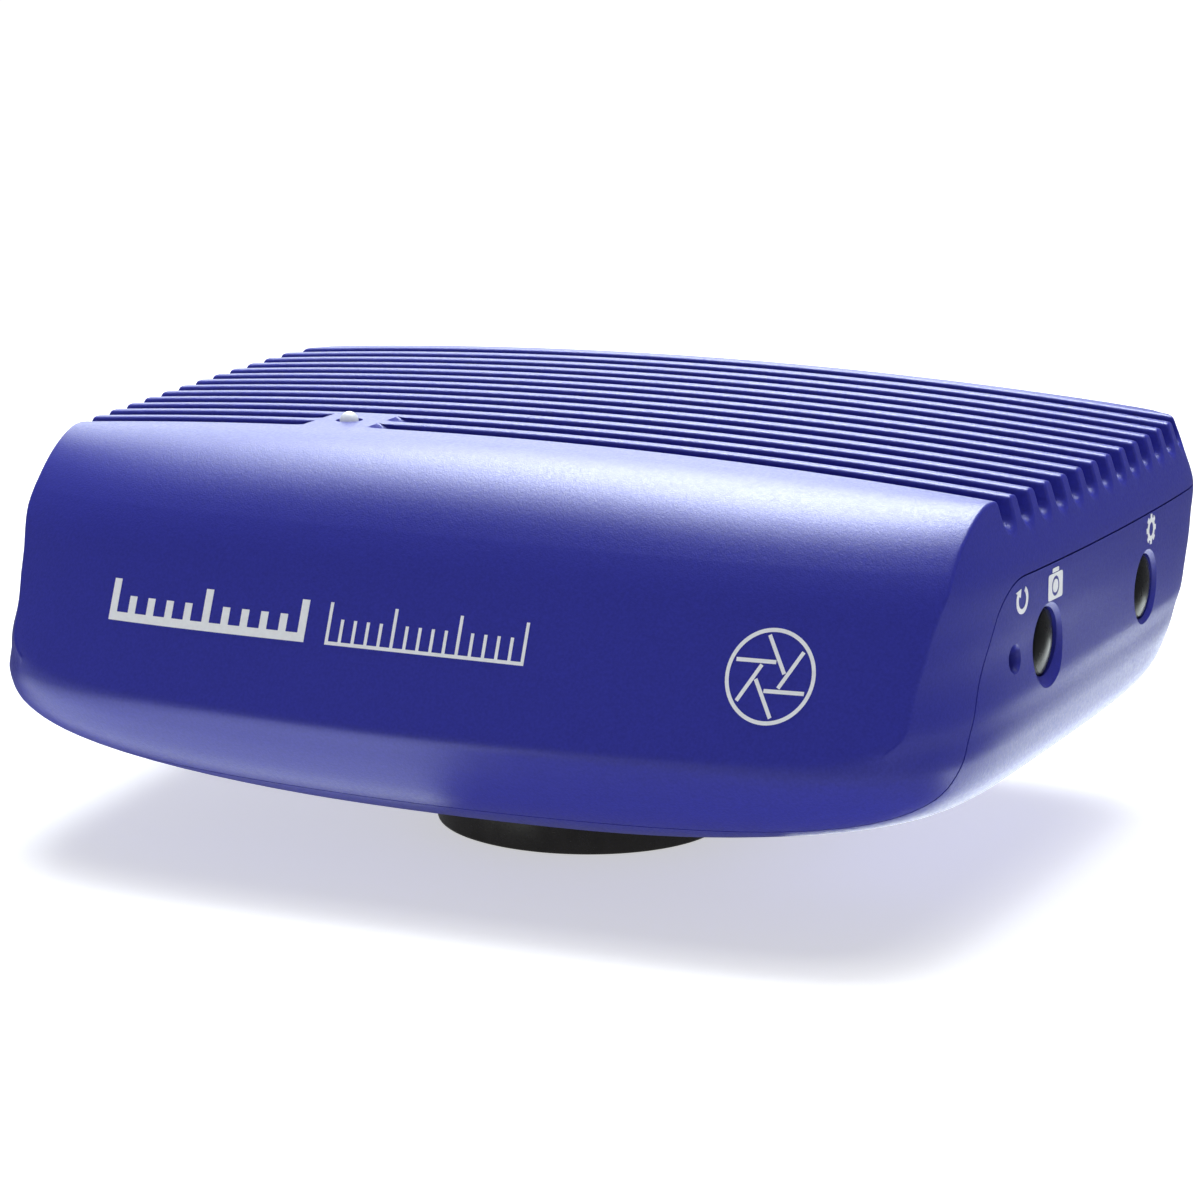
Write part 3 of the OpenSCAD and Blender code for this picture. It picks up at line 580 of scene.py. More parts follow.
def turned(profile, segments=96, axis="z", at=(0, 0, 0), shift=None):
    """Vertices and faces of a solid of revolution round z or x.

    The profile of (radius, height) is closed, or starts and ends on the axis.
    """
    verts, faces = [], []
    open_ends = profile[0][0] == 0 and profile[-1][0] == 0
    for i in range(segments):
        a = 2 * math.pi * i / segments
        for r, h in profile:
            rr = r + (shift(r, h, a) if shift else 0)
            p = (rr * math.cos(a), rr * math.sin(a), h)
            p = p if axis == "z" else (h, p[0], p[1])
            verts.append([p[c] + at[c] for c in range(3)])
    n = len(profile)
    for i in range(segments):
        for k in range(n - 1 if open_ends else n):
            a, b = i * n + k, i * n + (k + 1) % n
            c, d = ((i + 1) % segments) * n + (k + 1) % n, ((i + 1) % segments) * n + k
            faces.append((a, b, c, d))
    return verts, faces


def turned_object(name, profile, **kw):
    verts, faces = turned(profile, **kw)
    return make_object(name, verts, faces, WELD, dissolve=True)


def rod(r, at, length, axis="z", r_end=None, segments=64):
    """Cylinder or cone used as a tool, from `at` along its axis."""
    r_end = r if r_end is None else r_end
    return turned_object("tool", [(0, 0), (r, 0), (r_end, length), (0, length)],
                         segments=segments, axis=axis, at=at)


def block(lo, hi):
    """Box used as a tool."""
    corners = [(x, y, z) for x in (lo[0], hi[0]) for y in (lo[1], hi[1]) for z in (lo[2], hi[2])]
    quads = [(0, 1, 3, 2), (4, 6, 7, 5), (0, 4, 5, 1), (2, 3, 7, 6), (0, 2, 6, 4), (1, 5, 7, 3)]
    return make_object("tool", corners, quads)


def prism_x(outline, half):
    """Outline in the YZ plane swept from -half to half along X."""
    n = len(outline)
    verts = [(x, y, z) for x in (-half, half) for y, z in outline]
    faces = [tuple(range(n)), tuple(range(2 * n - 1, n - 1, -1))]
    faces += [(i, (i + 1) % n, n + (i + 1) % n, n + i) for i in range(n)]
    return make_object("tool", verts, faces)


# ---- Housing ----

PARTING_Z = 52.4  # parting surface: level at the back, sloping down at the front
PART_CORNER_Y = -30.8
PART_SLOPE = 0.681
PART_R = 12.0
PART_GAP = 0.26
BUTTON_Z, BUTTON_ROW = 40.5, 10  # height of the buttons, and the row of FORM used there
SNAP_Y, MENU_Y, RESET_Y = -15.0, 31.0, -28.0
BUTTON_R = 5.2
BUTTON_CLEAR = 0.15
RIM_DEPTH = 0.6
DISH_REACH, DISH_FLARE = 2.6, 1.25  # cone that dishes the wall round a button
RESET_R = 1.8
CONTROL_WALL = 2.8
PLUNGER_TIP_X = 77.4
PIPE_R, PIPE_CLEAR = 1.5, 0.08
SPIGOT_R = 17.0  # spigot of the mount ring
CEILING_Z = CROWN_Z - GROOVE_DEPTH - 2.8
PIPE_SEAT_Z = CEILING_Z - 1.6
FAR, UNDER_Z = 100.0, -10.0  # well outside the housing
PANEL_Y = 63.2
PANEL = (-54.0, 53.0, 26.8, 49.4)  # opening for the rear panel: x and z limits
PANEL_FRAME, PANEL_LEDGE = 1.8, 4
SHELL_SCREWS = [(64, 46), (-64, 46), (58, -30), (-58, -30)]
SCREW_BOSS_R, SCREW_BOSS_Z, SCREW_PILOT_R = 4, 41, 1.5
SCREW_WELL_R, SCREW_WELL_WALL, SCREW_HOLE_R = 3.2, 1.4, 1.7
MAIN_POSTS = [(-52, 40), (54, 18), (-52, -16), (54, -16)]
MAIN_POST_R, MAIN_POST_TOP, PILOT_R = 3.4, 21, 1.25
SPREADER_POSTS = [(-25, 8), (25, 8)]
SPREADER_POST_R, SPREADER_POST_LEN = 3.5, 9
STATUS_POSTS = [(LED_X - 7, LED_Y), (LED_X + 7, LED_Y)]
STATUS_POST_R, STATUS_POST_Z, SMALL_PILOT_R = 2.2, 55, 0.9
SWITCH_POST_YS, SWITCH_POST_R, SWITCH_POST_X = (4, 20), 2.6, 73
FOOT_Z = 9  # start of the posts, inside the floor
CARRIER_HALF, CARRIER_SINK = 22.2, 2.5  # pocket for the sensor's carrier
RING_SCREW_R = 19

outer_form = Form(0.0, CROWN_Z)


def side_x(y):
    """Half-width at button height."""
    _, _, inset, front, back, n_front, n_back = FORM[BUTTON_ROW]
    mid, half = (front + back) / 2, (back - front) / 2
    n = n_front if y < mid else n_back
    taper = float(outer_form.taper(y, BUTTON_Z))
    return (BODY_W / 2 - inset) * taper * float(corner((y - mid) / half, n))


def lower_region(grow):
    """The lower shell's side of the parting surface, moved out by `grow`."""
    angle = math.atan(PART_SLOPE)
    r = PART_R + grow
    cy = PART_CORNER_Y + PART_R * math.tan((math.pi / 2 - angle) / 2)
    cz = PARTING_Z - PART_R
    arc = [(cy + r * math.cos(a), cz + r * math.sin(a))
           for a in np.linspace(math.pi - angle, math.pi / 2, 17)]
    foot = (arc[0][0] - PART_SLOPE * (arc[0][1] - UNDER_Z), UNDER_Z)
    return prism_x([foot] + arc + [(FAR, PARTING_Z + grow), (FAR, UNDER_Z)], FAR)


def dish(y, r):
    """Cone that widens a hole of radius r at the surface, square to the surface there."""
    tilt = math.atan(side_x(y + 0.5) - side_x(y - 0.5))
    cone = rod(r, (-RIM_DEPTH, 0, 0), DISH_REACH, "x", r + DISH_FLARE * DISH_REACH, 128)
    place = Matrix.Translation(Vector((side_x(y), y, BUTTON_Z)) * MM)
    cone.data.transform(place @ Matrix.Rotation(-tilt, 4, "Z"))
    return cone


def inner_top(x):
    """Height inside the top wall at x, where the upper shell's posts end."""
    return CEILING_Z - CROWN_DROP * (x / FIN_HALF) ** 2 + 1.2


def panel_block(grow, y0, y1):
    """Block through the rear panel's opening, larger by `grow` on each side."""
    x0, x1, z0, z1 = PANEL
    return block((x0 - grow, y0, z0 - grow), (x1 + grow, y1, z1 + grow))


# columns crowd where the land round the status light ends, and towards the sides
middle = np.concatenate([np.arange(0, 17, 4.0), np.arange(17, 44, 1.0)])
columns = np.concatenate([middle, [47, 51, 55, 59, 63, 67, 70, 72.5, 74.5, 76, REF_W]])
levels = np.unique(np.concatenate([np.arange(0, 6, 1 / 6), np.arange(6, 9, 1 / 8),
                                   np.arange(9, BAND_LEVEL, 1 / 5), [BAND_LEVEL]]).round(4))
outer = form_object("outer", outer_form, columns, levels, True, EDGE_R, 44, 14)
coarse = np.concatenate([np.arange(0, 60, 8.0), [60, 66, 71, 75, REF_W]])
coarse_levels = np.concatenate([np.arange(0, 12, 0.5), [BAND_LEVEL - 1.2]])
COARSE_LAYOUT = (coarse, coarse_levels, False, 0.3, 16, 6)
hollow = form_object("hollow", Form(WALL, CEILING_Z), *COARSE_LAYOUT)
core = form_object("core", Form(WALL / 2, CEILING_Z + WALL / 2), *COARSE_LAYOUT)

shell = clone(outer, "shell")
combine(shell, [hollow], "DIFFERENCE")

upper = clone(shell, "upper_shell_skin")
combine(upper, [lower_region(PART_GAP / 2)], "DIFFERENCE")
lower = clone(shell, "lower_shell_skin")
combine(lower, [lower_region(-PART_GAP / 2)], "INTERSECT")


def join_inside(obj, tools):
    """Adds bosses to a shell, each trimmed to the middle of the wall first."""
    for tool in tools:
        combine(tool, [clone(core, "trim")], "INTERSECT")
        combine(obj, [tool], "UNION")


def rods(r, places, z, length):
    """Upright rods of one size at several places."""
    return [rod(r, (x, y, z), length) for x, y in places]


def posts(r, places, z):
    """Upright rods that end inside the top wall."""
    return [rod(r, (x, y, z), inner_top(x) - z) for x, y in places]


def side_rod(r, x, y, length, r_end=None, **kw):
    """Rod along X at the height of the buttons."""
    return rod(r, (x, y, BUTTON_Z), length, "x", r_end, **kw)


status_crown = outer_form.crown(LED_X)
spreader_z = CEILING_Z - SPREADER_POST_LEN
join_inside(upper, posts(SCREW_BOSS_R, SHELL_SCREWS, SCREW_BOSS_Z)
            + posts(SPREADER_POST_R, SPREADER_POSTS, spreader_z)
            + posts(STATUS_POST_R, STATUS_POSTS, STATUS_POST_Z)
            + [rod(3, (LED_X, LED_Y, PIPE_SEAT_Z), 3)])
combine(upper, rods(SCREW_PILOT_R, SHELL_SCREWS, SCREW_BOSS_Z - 1, 13)
        + rods(PILOT_R, SPREADER_POSTS, spreader_z - 1, 8)
        + rods(SMALL_PILOT_R, STATUS_POSTS, STATUS_POST_Z - 1, 5)
        + [rod(PIPE_R + PIPE_CLEAR, (LED_X, LED_Y, 50), 30)]
        + [rod(2.0, (LED_X, LED_Y, status_crown - 0.7), 4, r_end=2.9)], "DIFFERENCE")

pads = [(SNAP_Y, 8.5), (MENU_Y, 8.5), (RESET_Y, 5.0)]
join_inside(lower, rods(SCREW_WELL_R + SCREW_WELL_WALL, SHELL_SCREWS, FOOT_Z, 32)
            + rods(MAIN_POST_R, MAIN_POSTS, FOOT_Z, MAIN_POST_TOP - FOOT_Z)
            + [panel_block(PANEL_FRAME, PANEL_Y - 4, PANEL_Y + 1)]
            + [side_rod(r, side_x(y) - CONTROL_WALL, y, 4) for y, r in pads]
            + [side_rod(SWITCH_POST_R, SWITCH_POST_X, y, 10) for y in SWITCH_POST_YS])
quarters = np.arange(4) * math.pi / 2
ring_screws = [(RING_SCREW_R * math.cos(a), RING_SCREW_R * math.sin(a)) for a in quarters]
floor_z = SEAT_Z + WALL
cuts = [rod(SPIGOT_R + 0.1, (0, 0, 5), 10),
        block((-CARRIER_HALF, -CARRIER_HALF, floor_z), (CARRIER_HALF, CARRIER_HALF, floor_z + CARRIER_SINK))]
cuts += rods(1.4, ring_screws, 5, 10)
for place in SHELL_SCREWS:
    cuts += rods(SCREW_WELL_R, [place], 0, 35) + rods(SCREW_HOLE_R, [place], 30, 16)
cuts += rods(PILOT_R, MAIN_POSTS, 15, 10)
cuts += [panel_block(0, PANEL_Y - 2, PANEL_Y + 12), panel_block(-PANEL_LEDGE, PANEL_Y - 5, PANEL_Y + 12)]
hole_r = BUTTON_R + BUTTON_CLEAR
for y in (SNAP_Y, MENU_Y):
    cuts += [side_rod(hole_r, side_x(y) - 12, y, 20, segments=96), dish(y, hole_r),
             side_rod(BUTTON_R + 1.7, side_x(y) - CONTROL_WALL - 7, y, 7)]
cuts += [side_rod(RESET_R + 0.1, side_x(RESET_Y) - 12, RESET_Y, 20),
         side_rod(RESET_R, side_x(RESET_Y) - 0.5, RESET_Y, 1.5, RESET_R + 1.0),
         side_rod(3.5, PLUNGER_TIP_X - 6.35, RESET_Y, 7)]
cuts += [side_rod(SMALL_PILOT_R, SWITCH_POST_X - 1, y, 6.5) for y in SWITCH_POST_YS]
combine(lower, cuts, "DIFFERENCE")
for spare in (outer, core, shell):
    bpy.data.objects.remove(spare)


def shade(obj, angle=35, weighted=True):
    """Smooth shading that keeps the edges sharper than `angle`."""
    for poly in obj.data.polygons:
        poly.use_smooth = True
    obj.data.set_sharp_from_angle(angle=math.radians(angle))
    if weighted:
        mod = obj.modifiers.new("normals", "WEIGHTED_NORMAL")
        mod.keep_sharp = True
        apply_modifiers(obj)


shade(upper)
shade(lower)


# ---- Mount ring, controls and light pipe ----

RING_R = 23.6
THREAD_R = 12.3
THREAD_LEN = 4.2
THREAD_PITCH = 0.79375  # 32 turns to the inch
THREAD_DEPTH = 0.35
THREAD_STEPS = 5  # heights per turn of the thread
THREAD_START, THREAD_RELIEF = 0.5, 0.3  # plain lengths at the two ends of the thread


def thread_shift(r, h, a):
    """How far the bore's wall stands in at this height and angle."""
    if r != THREAD_R or not THREAD_START < h < THREAD_LEN - THREAD_RELIEF:
        return 0
    turn = (h / THREAD_PITCH - a / (2 * math.pi)) % 1
    return -THREAD_DEPTH * (1 - abs(2 * turn - 1))


def arc_points(cx, cy, r, a0, a1, n):
    """n points of an arc from a0 to a1 degrees."""
    angles = [math.radians(a) for a in np.linspace(a0, a1, n)]
    return [(cx + r * math.cos(a), cy + r * math.sin(a)) for a in angles]


def mount_ring():
    """Ring with its thread, the ledge for the filter, and the spigot that the sensor's carrier sits on."""
    spigot_top, lip, edge_r = 12.0, 0.25, 0.6
    pocket_r, pocket_z, window_r, window_z, relief_r = 11.05, 7.2, 9, 5.6, 11.2
    profile = [(THREAD_R + 0.5, 0), (RING_R - edge_r, 0)]
    profile += arc_points(RING_R - edge_r, edge_r, edge_r, -75, -15, 5)
    profile += [(RING_R, edge_r), (RING_R, SEAT_Z - lip), (RING_R - lip, SEAT_Z), (SPIGOT_R, SEAT_Z)]
    profile += [(SPIGOT_R, spigot_top - lip), (SPIGOT_R - lip, spigot_top), (pocket_r + lip, spigot_top)]
    profile += [(pocket_r, spigot_top - lip), (pocket_r, pocket_z), (window_r + lip, pocket_z)]
    profile += [(window_r, pocket_z - lip), (window_r, window_z), (relief_r, window_z)]
    profile += [(relief_r, THREAD_LEN), (THREAD_R, THREAD_LEN)]
    turns = np.arange(THREAD_LEN - 0.2, THREAD_START, -THREAD_PITCH / THREAD_STEPS)
    profile += [(THREAD_R, float(h)) for h in turns] + [(THREAD_R, 0.45)]
    ring = turned_object("mount_ring_turned", profile, segments=144, shift=thread_shift)
    combine(ring, [rod(PILOT_R, (x, y, 2.4), 10) for x, y in ring_screws], "DIFFERENCE")
    return ring


def push_button(name, y):
    """Button with its stem, its flange and a domed, rounded cap."""
    wall_h = side_x(y) - PLUNGER_TIP_X
    stem_r, flange_r, flange_h = 2, BUTTON_R + 1.4, wall_h - CONTROL_WALL - 1
    edge_h = wall_h - RIM_DEPTH - 0.1
    dome_h, round_r = 0.9, 0.35
    dome_r = (BUTTON_R ** 2 + dome_h ** 2) / (2 * dome_h)
    profile = [(0, 0), (stem_r, 0), (stem_r, flange_h), (flange_r, flange_h), (flange_r, flange_h + 1)]
    profile += [(BUTTON_R, flange_h + 1), (BUTTON_R, edge_h - round_r)]
    profile += arc_points(BUTTON_R - round_r, edge_h - round_r, round_r, 15, 70, 4)
    for r in np.linspace(BUTTON_R - round_r, 0, 14):
        profile.append((float(r), edge_h + dome_h - dome_r + math.sqrt(dome_r ** 2 - r ** 2)))
    return turned_object(name, profile, axis="x", at=(PLUNGER_TIP_X, y, BUTTON_Z))


def reset_pin():
    """Pin with a thin flange and a rounded tip, below the surface."""
    tip = side_x(RESET_Y) - 1.6 - PLUNGER_TIP_X
    round_r, flange_r, flange_h = 0.4, 3.2, 0.6
    profile = [(0, 0), (flange_r, 0), (flange_r, flange_h), (RESET_R, flange_h), (RESET_R, tip - round_r)]
    profile += arc_points(RESET_R - round_r, tip - round_r, round_r, 20, 90, 5) + [(0, tip)]
    return turned_object("reset_pin_turned", profile, axis="x", at=(PLUNGER_TIP_X, RESET_Y, BUTTON_Z))


def light_pipe():
    """Rod from the status LED up to a dome on the crown, with a flange under the top wall."""
    roof, dome_h = float(status_crown), 1.4
    seat, foot, flange_r = PIPE_SEAT_Z, 56.8, 2.3
    dome_r = (PIPE_R ** 2 + dome_h ** 2) / (2 * dome_h)
    profile = [(0, foot), (PIPE_R, foot), (PIPE_R, seat - 1), (flange_r, seat - 1), (flange_r, seat)]
    profile += [(PIPE_R, seat), (PIPE_R, roof - 0.6), (PIPE_R, roof)]
    low = math.degrees(math.asin((dome_r - dome_h) / dome_r))
    profile += arc_points(0, roof + dome_h - dome_r, dome_r, low, 90, 14)[1:-1] + [(0, roof + dome_h)]
    return turned_object("light_pipe_turned", profile, segments=48, at=(LED_X, LED_Y, 0))


ring = mount_ring()
buttons = {"snap_button": push_button("snap_button_turned", SNAP_Y),
           "menu_button": push_button("menu_button_turned", MENU_Y),
           "reset_pin": reset_pin()}
pipe = light_pipe()
for obj in [ring, pipe, *buttons.values()]:
    shade(obj, 28, weighted=False)


# ---- Printed marks: thin solids that follow the surface ----

INK_TOP = 0.07  # how far a mark stands proud
INK_DEPTH = 0.12  # how far it goes into the wall
SLOPE_STEP = 0.05  # distance over which a surface's slope is taken
SIDE_LEVELS, SIDE_STEPS = (6.0, 13.0), 30  # search for the side's level at a height
MARK_STEP = 1.2  # longest edge of a mark's outline
WHOLE_EDGES = 10.0  # leaves the short straight strokes of the round mark undivided


def on_front(u, v):
    """Point and outward normal of the sloping front at x = u, z = v."""
    y = float(outer_form.front(u, v))
    dx = (float(outer_form.front(u + SLOPE_STEP, v)) - y) / SLOPE_STEP
    dz = (float(outer_form.front(u, v + SLOPE_STEP)) - y) / SLOPE_STEP
    return Vector((u, y, v)), Vector((dx, -1, dz)).normalized()


def on_side(u, v):
    """Point and outward normal of the right side at y = u, z = v."""
    def half_width(y, z):
        lo, hi = SIDE_LEVELS
        for _ in range(SIDE_STEPS):
            m = (lo + hi) / 2
            low = float(outer_form.height(m, float(outer_form.side(m, y)))) < z
            lo, hi = (m, hi) if low else (lo, m)
        return float(outer_form.side(lo, y))

    x = half_width(u, v)
    dy = (half_width(u + SLOPE_STEP, v) - x) / SLOPE_STEP
    dz = (half_width(u, v + SLOPE_STEP) - x) / SLOPE_STEP
    return Vector((x, u, v)), Vector((1, -dy, -dz)).normalized()


def fine(loop, step):
    """The loop with the edges longer than `step` divided."""
    points = []
    for a, b in zip(loop, loop[1:] + loop[:1]):
        n = max(1, math.ceil(math.dist(a, b) / step))
        points += [(a[0] + (b[0] - a[0]) * k / n, a[1] + (b[1] - a[1]) * k / n) for k in range(n)]
    return points


def mark(name, shapes, surface, step=MARK_STEP):
    """Each shape is a list of loops: its outline, then its holes."""
    verts, faces = [], []
    for loops in shapes:
        flat, edges = [], []
        for loop in (fine(p, step) for p in loops):
            start = len(flat)
            flat += loop
            edges += [(start + i, start + (i + 1) % len(loop)) for i in range(len(loop))]
        n, base = len(flat), len(verts)
        placed = [surface(u, v) for u, v in flat]
        verts += [p + normal * INK_TOP for p, normal in placed]
        verts += [p - normal * INK_DEPTH for p, normal in placed]
        for a, b, c in fill(flat, edges):
            faces += [(base + a, base + b, base + c), (base + n + c, base + n + b, base + n + a)]
        faces += [(base + a, base + b, base + n + b, base + n + a) for a, b in edges]
    return make_object(name, verts, faces)


def comb(x0, x1, z0, z1, teeth, tooth_w, short):
    """Graduated rule: a base line with ticks, every fifth one at full height."""
    loop = [(x0, z0), (x1, z0)]
    pitch = (x1 - x0 - tooth_w) / (teeth - 1)
    base = z0 + tooth_w
    for i in reversed(range(teeth)):
        left = x0 + i * pitch
        top = z1 if i % 5 == 0 else z0 + (z1 - z0) * short
        loop += [(left + tooth_w, base)] if i < teeth - 1 else []
        loop += [(left + tooth_w, top), (left, top)]
        loop += [(left, base)] if i else []
    return [loop]


def disc(cx, cy, r, n=40):
    """Round outline."""
    return arc_points(cx, cy, r, 0, 360 - 360 / n, n)


def stroke(a, b, w):
    """Straight stroke from a to b."""
    d = Vector((b[0] - a[0], b[1] - a[1])).normalized() * w / 2
    return [(a[0] + d.y, a[1] - d.x), (b[0] + d.y, b[1] - d.x),
            (b[0] - d.y, b[1] + d.x), (a[0] - d.y, a[1] + d.x)]


def aperture(cx, cy, r, hub, w):
    """Ring with the six straight blade edges of an iris."""
    shapes = [[disc(cx, cy, r, 64), disc(cx, cy, r - w, 64)]]
    for i in range(6):
        a, b = math.radians(60 * i), math.radians(60 * i + 120)
        start = Vector((cx + hub * math.cos(a), cy + hub * math.sin(a)))
        d = Vector((math.cos(b), math.sin(b)))
        rel = start - Vector((cx, cy))
        reach = -rel.dot(d) + math.sqrt(rel.dot(d) ** 2 - rel.length ** 2 + (r - 1.7 * w) ** 2)
        shapes.append([stroke(start + d * w, start + d * reach, w)])
    return shapes


def return_arrow(cx, cy, r, w):
    """Open circle that ends in an arrowhead."""
    start, end, tip = 150, 420, 105
    outer_arc = arc_points(cx, cy, r, start, end, 28)
    inner_arc = arc_points(cx, cy, r - w, end, start, 28)
    head = [arc_points(cx, cy, radius, a, a, 1)[0]
            for radius, a in ((r - 1.75 * w, start), (r - w / 2, tip), (r + 0.75 * w, start))]
    return [[outer_arc + inner_arc + head]]


def rounded_box(x0, x1, y0, y1, r):
    """Outline of a box with rounded corners."""
    corners = [(x1 - r, y1 - r, 0), (x0 + r, y1 - r, 90), (x0 + r, y0 + r, 180), (x1 - r, y0 + r, 270)]
    return [p for cx, cy, a in corners for p in arc_points(cx, cy, r, a, a + 90, 5)]


def camera_icon(cx, cy):
    """Camera body with a hump, a lens opening and a lens."""
    body = rounded_box(cx - 2.9, cx + 2.9, cy - 2.2, cy + 1.8, 0.45)
    hump = rounded_box(cx - 1.3, cx + 1.3, cy + 1.95, cy + 2.6, 0.2)
    lens_y, opening_r, lens_r = cy - 0.2, 1.55, 1.05
    return [[body, disc(cx, lens_y, opening_r)], [hump], [disc(cx, lens_y, lens_r)]]


def gear_icon(cx, cy, r, teeth=8):
    """Gear wheel with a hole."""
    loop = []
    root_r = r - 0.6
    for i in range(teeth):
        a = 360 * i / teeth
        for da, rr in ((-13, root_r), (-10, r), (10, r), (13, root_r)):
            loop += arc_points(cx, cy, rr, a + da, a + da, 1)
    return [[loop, disc(cx, cy, r * 0.45, 28)]]


ICON_Z = BUTTON_Z + 8.4
RULE_LOW, RULE_HIGH = 39.4, 45.4
marks = [mark("rule_mark_bold", [comb(-55, -21, RULE_LOW, RULE_HIGH, 11, 1.25, 0.62)], on_front),
         mark("rule_mark_fine", [comb(-17.5, 15, RULE_LOW, RULE_HIGH, 16, 0.5, 0.62)], on_front),
         mark("aperture_mark", aperture(52.8, 41.3, 6.6, 2.3, 0.55), on_front, WHOLE_EDGES),
         mark("reset_icon", return_arrow(RESET_Y + 2.6, ICON_Z, 2.15, 0.75), on_side),
         mark("camera_icon", camera_icon(SNAP_Y + 2.6, ICON_Z), on_side),
         mark("gear_icon", gear_icon(MENU_Y + 2.0, ICON_Z + 0.7, 2.5), on_side)]


# ---- Materials ----

class Look:
    """Principled material whose colour, roughness and bump come from noise in object space."""

    def __init__(self, name, base, rough, metallic=0.0, **inputs):
        self.material = bpy.data.materials.new(name)
        self.material.use_nodes = True
        self.tree = self.material.node_tree
        self.shader = self.tree.nodes["Principled BSDF"]
        self.set_inputs(self.shader, {"Base Color": (*base, 1), "Roughness": rough, "Metallic": metallic})
        self.set_inputs(self.shader, inputs)
        self.name, self.base, self.rough = name, base, rough
        self.coords = self.tree.nodes.new("ShaderNodeTexCoord").outputs["Object"]
        self.normal = None

    @staticmethod
    def set_inputs(node, inputs):
        for key, value in inputs.items():
            node.inputs[key.replace("_", " ")].default_value = value

    def add(self, kind, **inputs):
        """New node with its inputs set."""
        node = self.tree.nodes.new(kind)
        self.set_inputs(node, inputs)
        return node

    def link(self, a, b):
        self.tree.links.new(a, b)

    def noise(self, size_mm, detail=2.0, stretch=(1, 1, 1)):
        node = self.add("ShaderNodeTexNoise", Scale=1 / (size_mm * MM), Detail=detail)
        source = self.coords
        if stretch != (1, 1, 1):
            mapping = self.add("ShaderNodeMapping", Scale=stretch)
            self.link(self.coords, mapping.inputs["Vector"])
            source = mapping.outputs["Vector"]
        self.link(source, node.inputs["Vector"])
        return node.outputs["Fac"]

    def ramp(self, factor, low, high):
        """The noise's usual range, stretched to low..high."""
        node = self.add("ShaderNodeMapRange", From_Min=0.3, From_Max=0.7, To_Min=low, To_Max=high)
        self.link(factor, node.inputs["Value"])
        return node.outputs["Result"]

    def tint(self, factor, other):
        """Mixes the base colour towards another one by the factor."""
        node = self.tree.nodes.new("ShaderNodeMix")
        node.data_type = "RGBA"
        node.inputs["A"].default_value = (*self.base, 1)
        node.inputs["B"].default_value = (*other, 1)
        self.link(factor, node.inputs["Factor"])
        self.link(node.outputs["Result"], self.shader.inputs["Base Color"])
        return self

    def mottle(self, size_mm, amount):
        """Slight darker and lighter patches."""
        other = tuple(min(1.0, c * (1 - amount)) for c in self.base)
        return self.tint(self.ramp(self.noise(size_mm, 3), 0, 1), other)

    def gloss(self, size_mm, spread, stretch=(1, 1, 1)):
        """Slightly rougher and smoother patches."""
        fac = self.ramp(self.noise(size_mm, 2, stretch), self.rough - spread, self.rough + spread)
        self.link(fac, self.shader.inputs["Roughness"])
        return self

    def bump(self, size_mm, height_mm, strength=1.0, detail=1.0, stretch=(1, 1, 1)):
        """Surface relief, on top of any relief that is there already."""
        node = self.add("ShaderNodeBump", Strength=strength, Distance=height_mm * MM)
        self.link(self.noise(size_mm, detail, stretch), node.inputs["Height"])
        if self.normal:
            self.link(self.normal, node.inputs["Normal"])
        self.normal = node.outputs["Normal"]
        self.link(self.normal, self.shader.inputs["Normal"])
        return self


def circuit_look():
    """Green board with copper tracks under the lacquer."""
    look = Look("circuit_board", (0.012, 0.11, 0.05), 0.3, Coat_Weight=0.4)
    brick = look.add("ShaderNodeTexBrick", Scale=220, Mortar_Size=0.035, Color1=(0, 0, 0, 1),
                     Color2=(0.12, 0.12, 0.12, 1), Mortar=(1, 1, 1, 1))
    look.link(look.coords, brick.inputs["Vector"])
    look.tint(brick.outputs["Color"], (0.05, 0.26, 0.11)).gloss(2.0, 0.08).bump(0.4, 0.01)
    return look


def metal_look(name, base, rough, stretch=(1, 1, 1)):
    look = Look(name, base, rough, 1.0).mottle(6, 0.12)
    return look.gloss(0.5, 0.08, stretch).bump(0.25, 0.006, stretch=stretch)


def plastic_look(name, base, rough, **inputs):
    return Look(name, base, rough, **inputs).mottle(4, 0.12).gloss(1.5, 0.05).bump(0.3, 0.01)


PAINT = (0.03, 0.033, 0.34)
paint = Look("blue_paint", PAINT, 0.36, Specular_IOR_Level=0.42)
paint.tint(paint.ramp(paint.noise(0.45, 2), 0, 1), tuple(c * 0.8 for c in PAINT))
paint.gloss(0.6, 0.05).bump(0.24, 0.03, detail=1.5).bump(0.6, 0.012, detail=1.0)

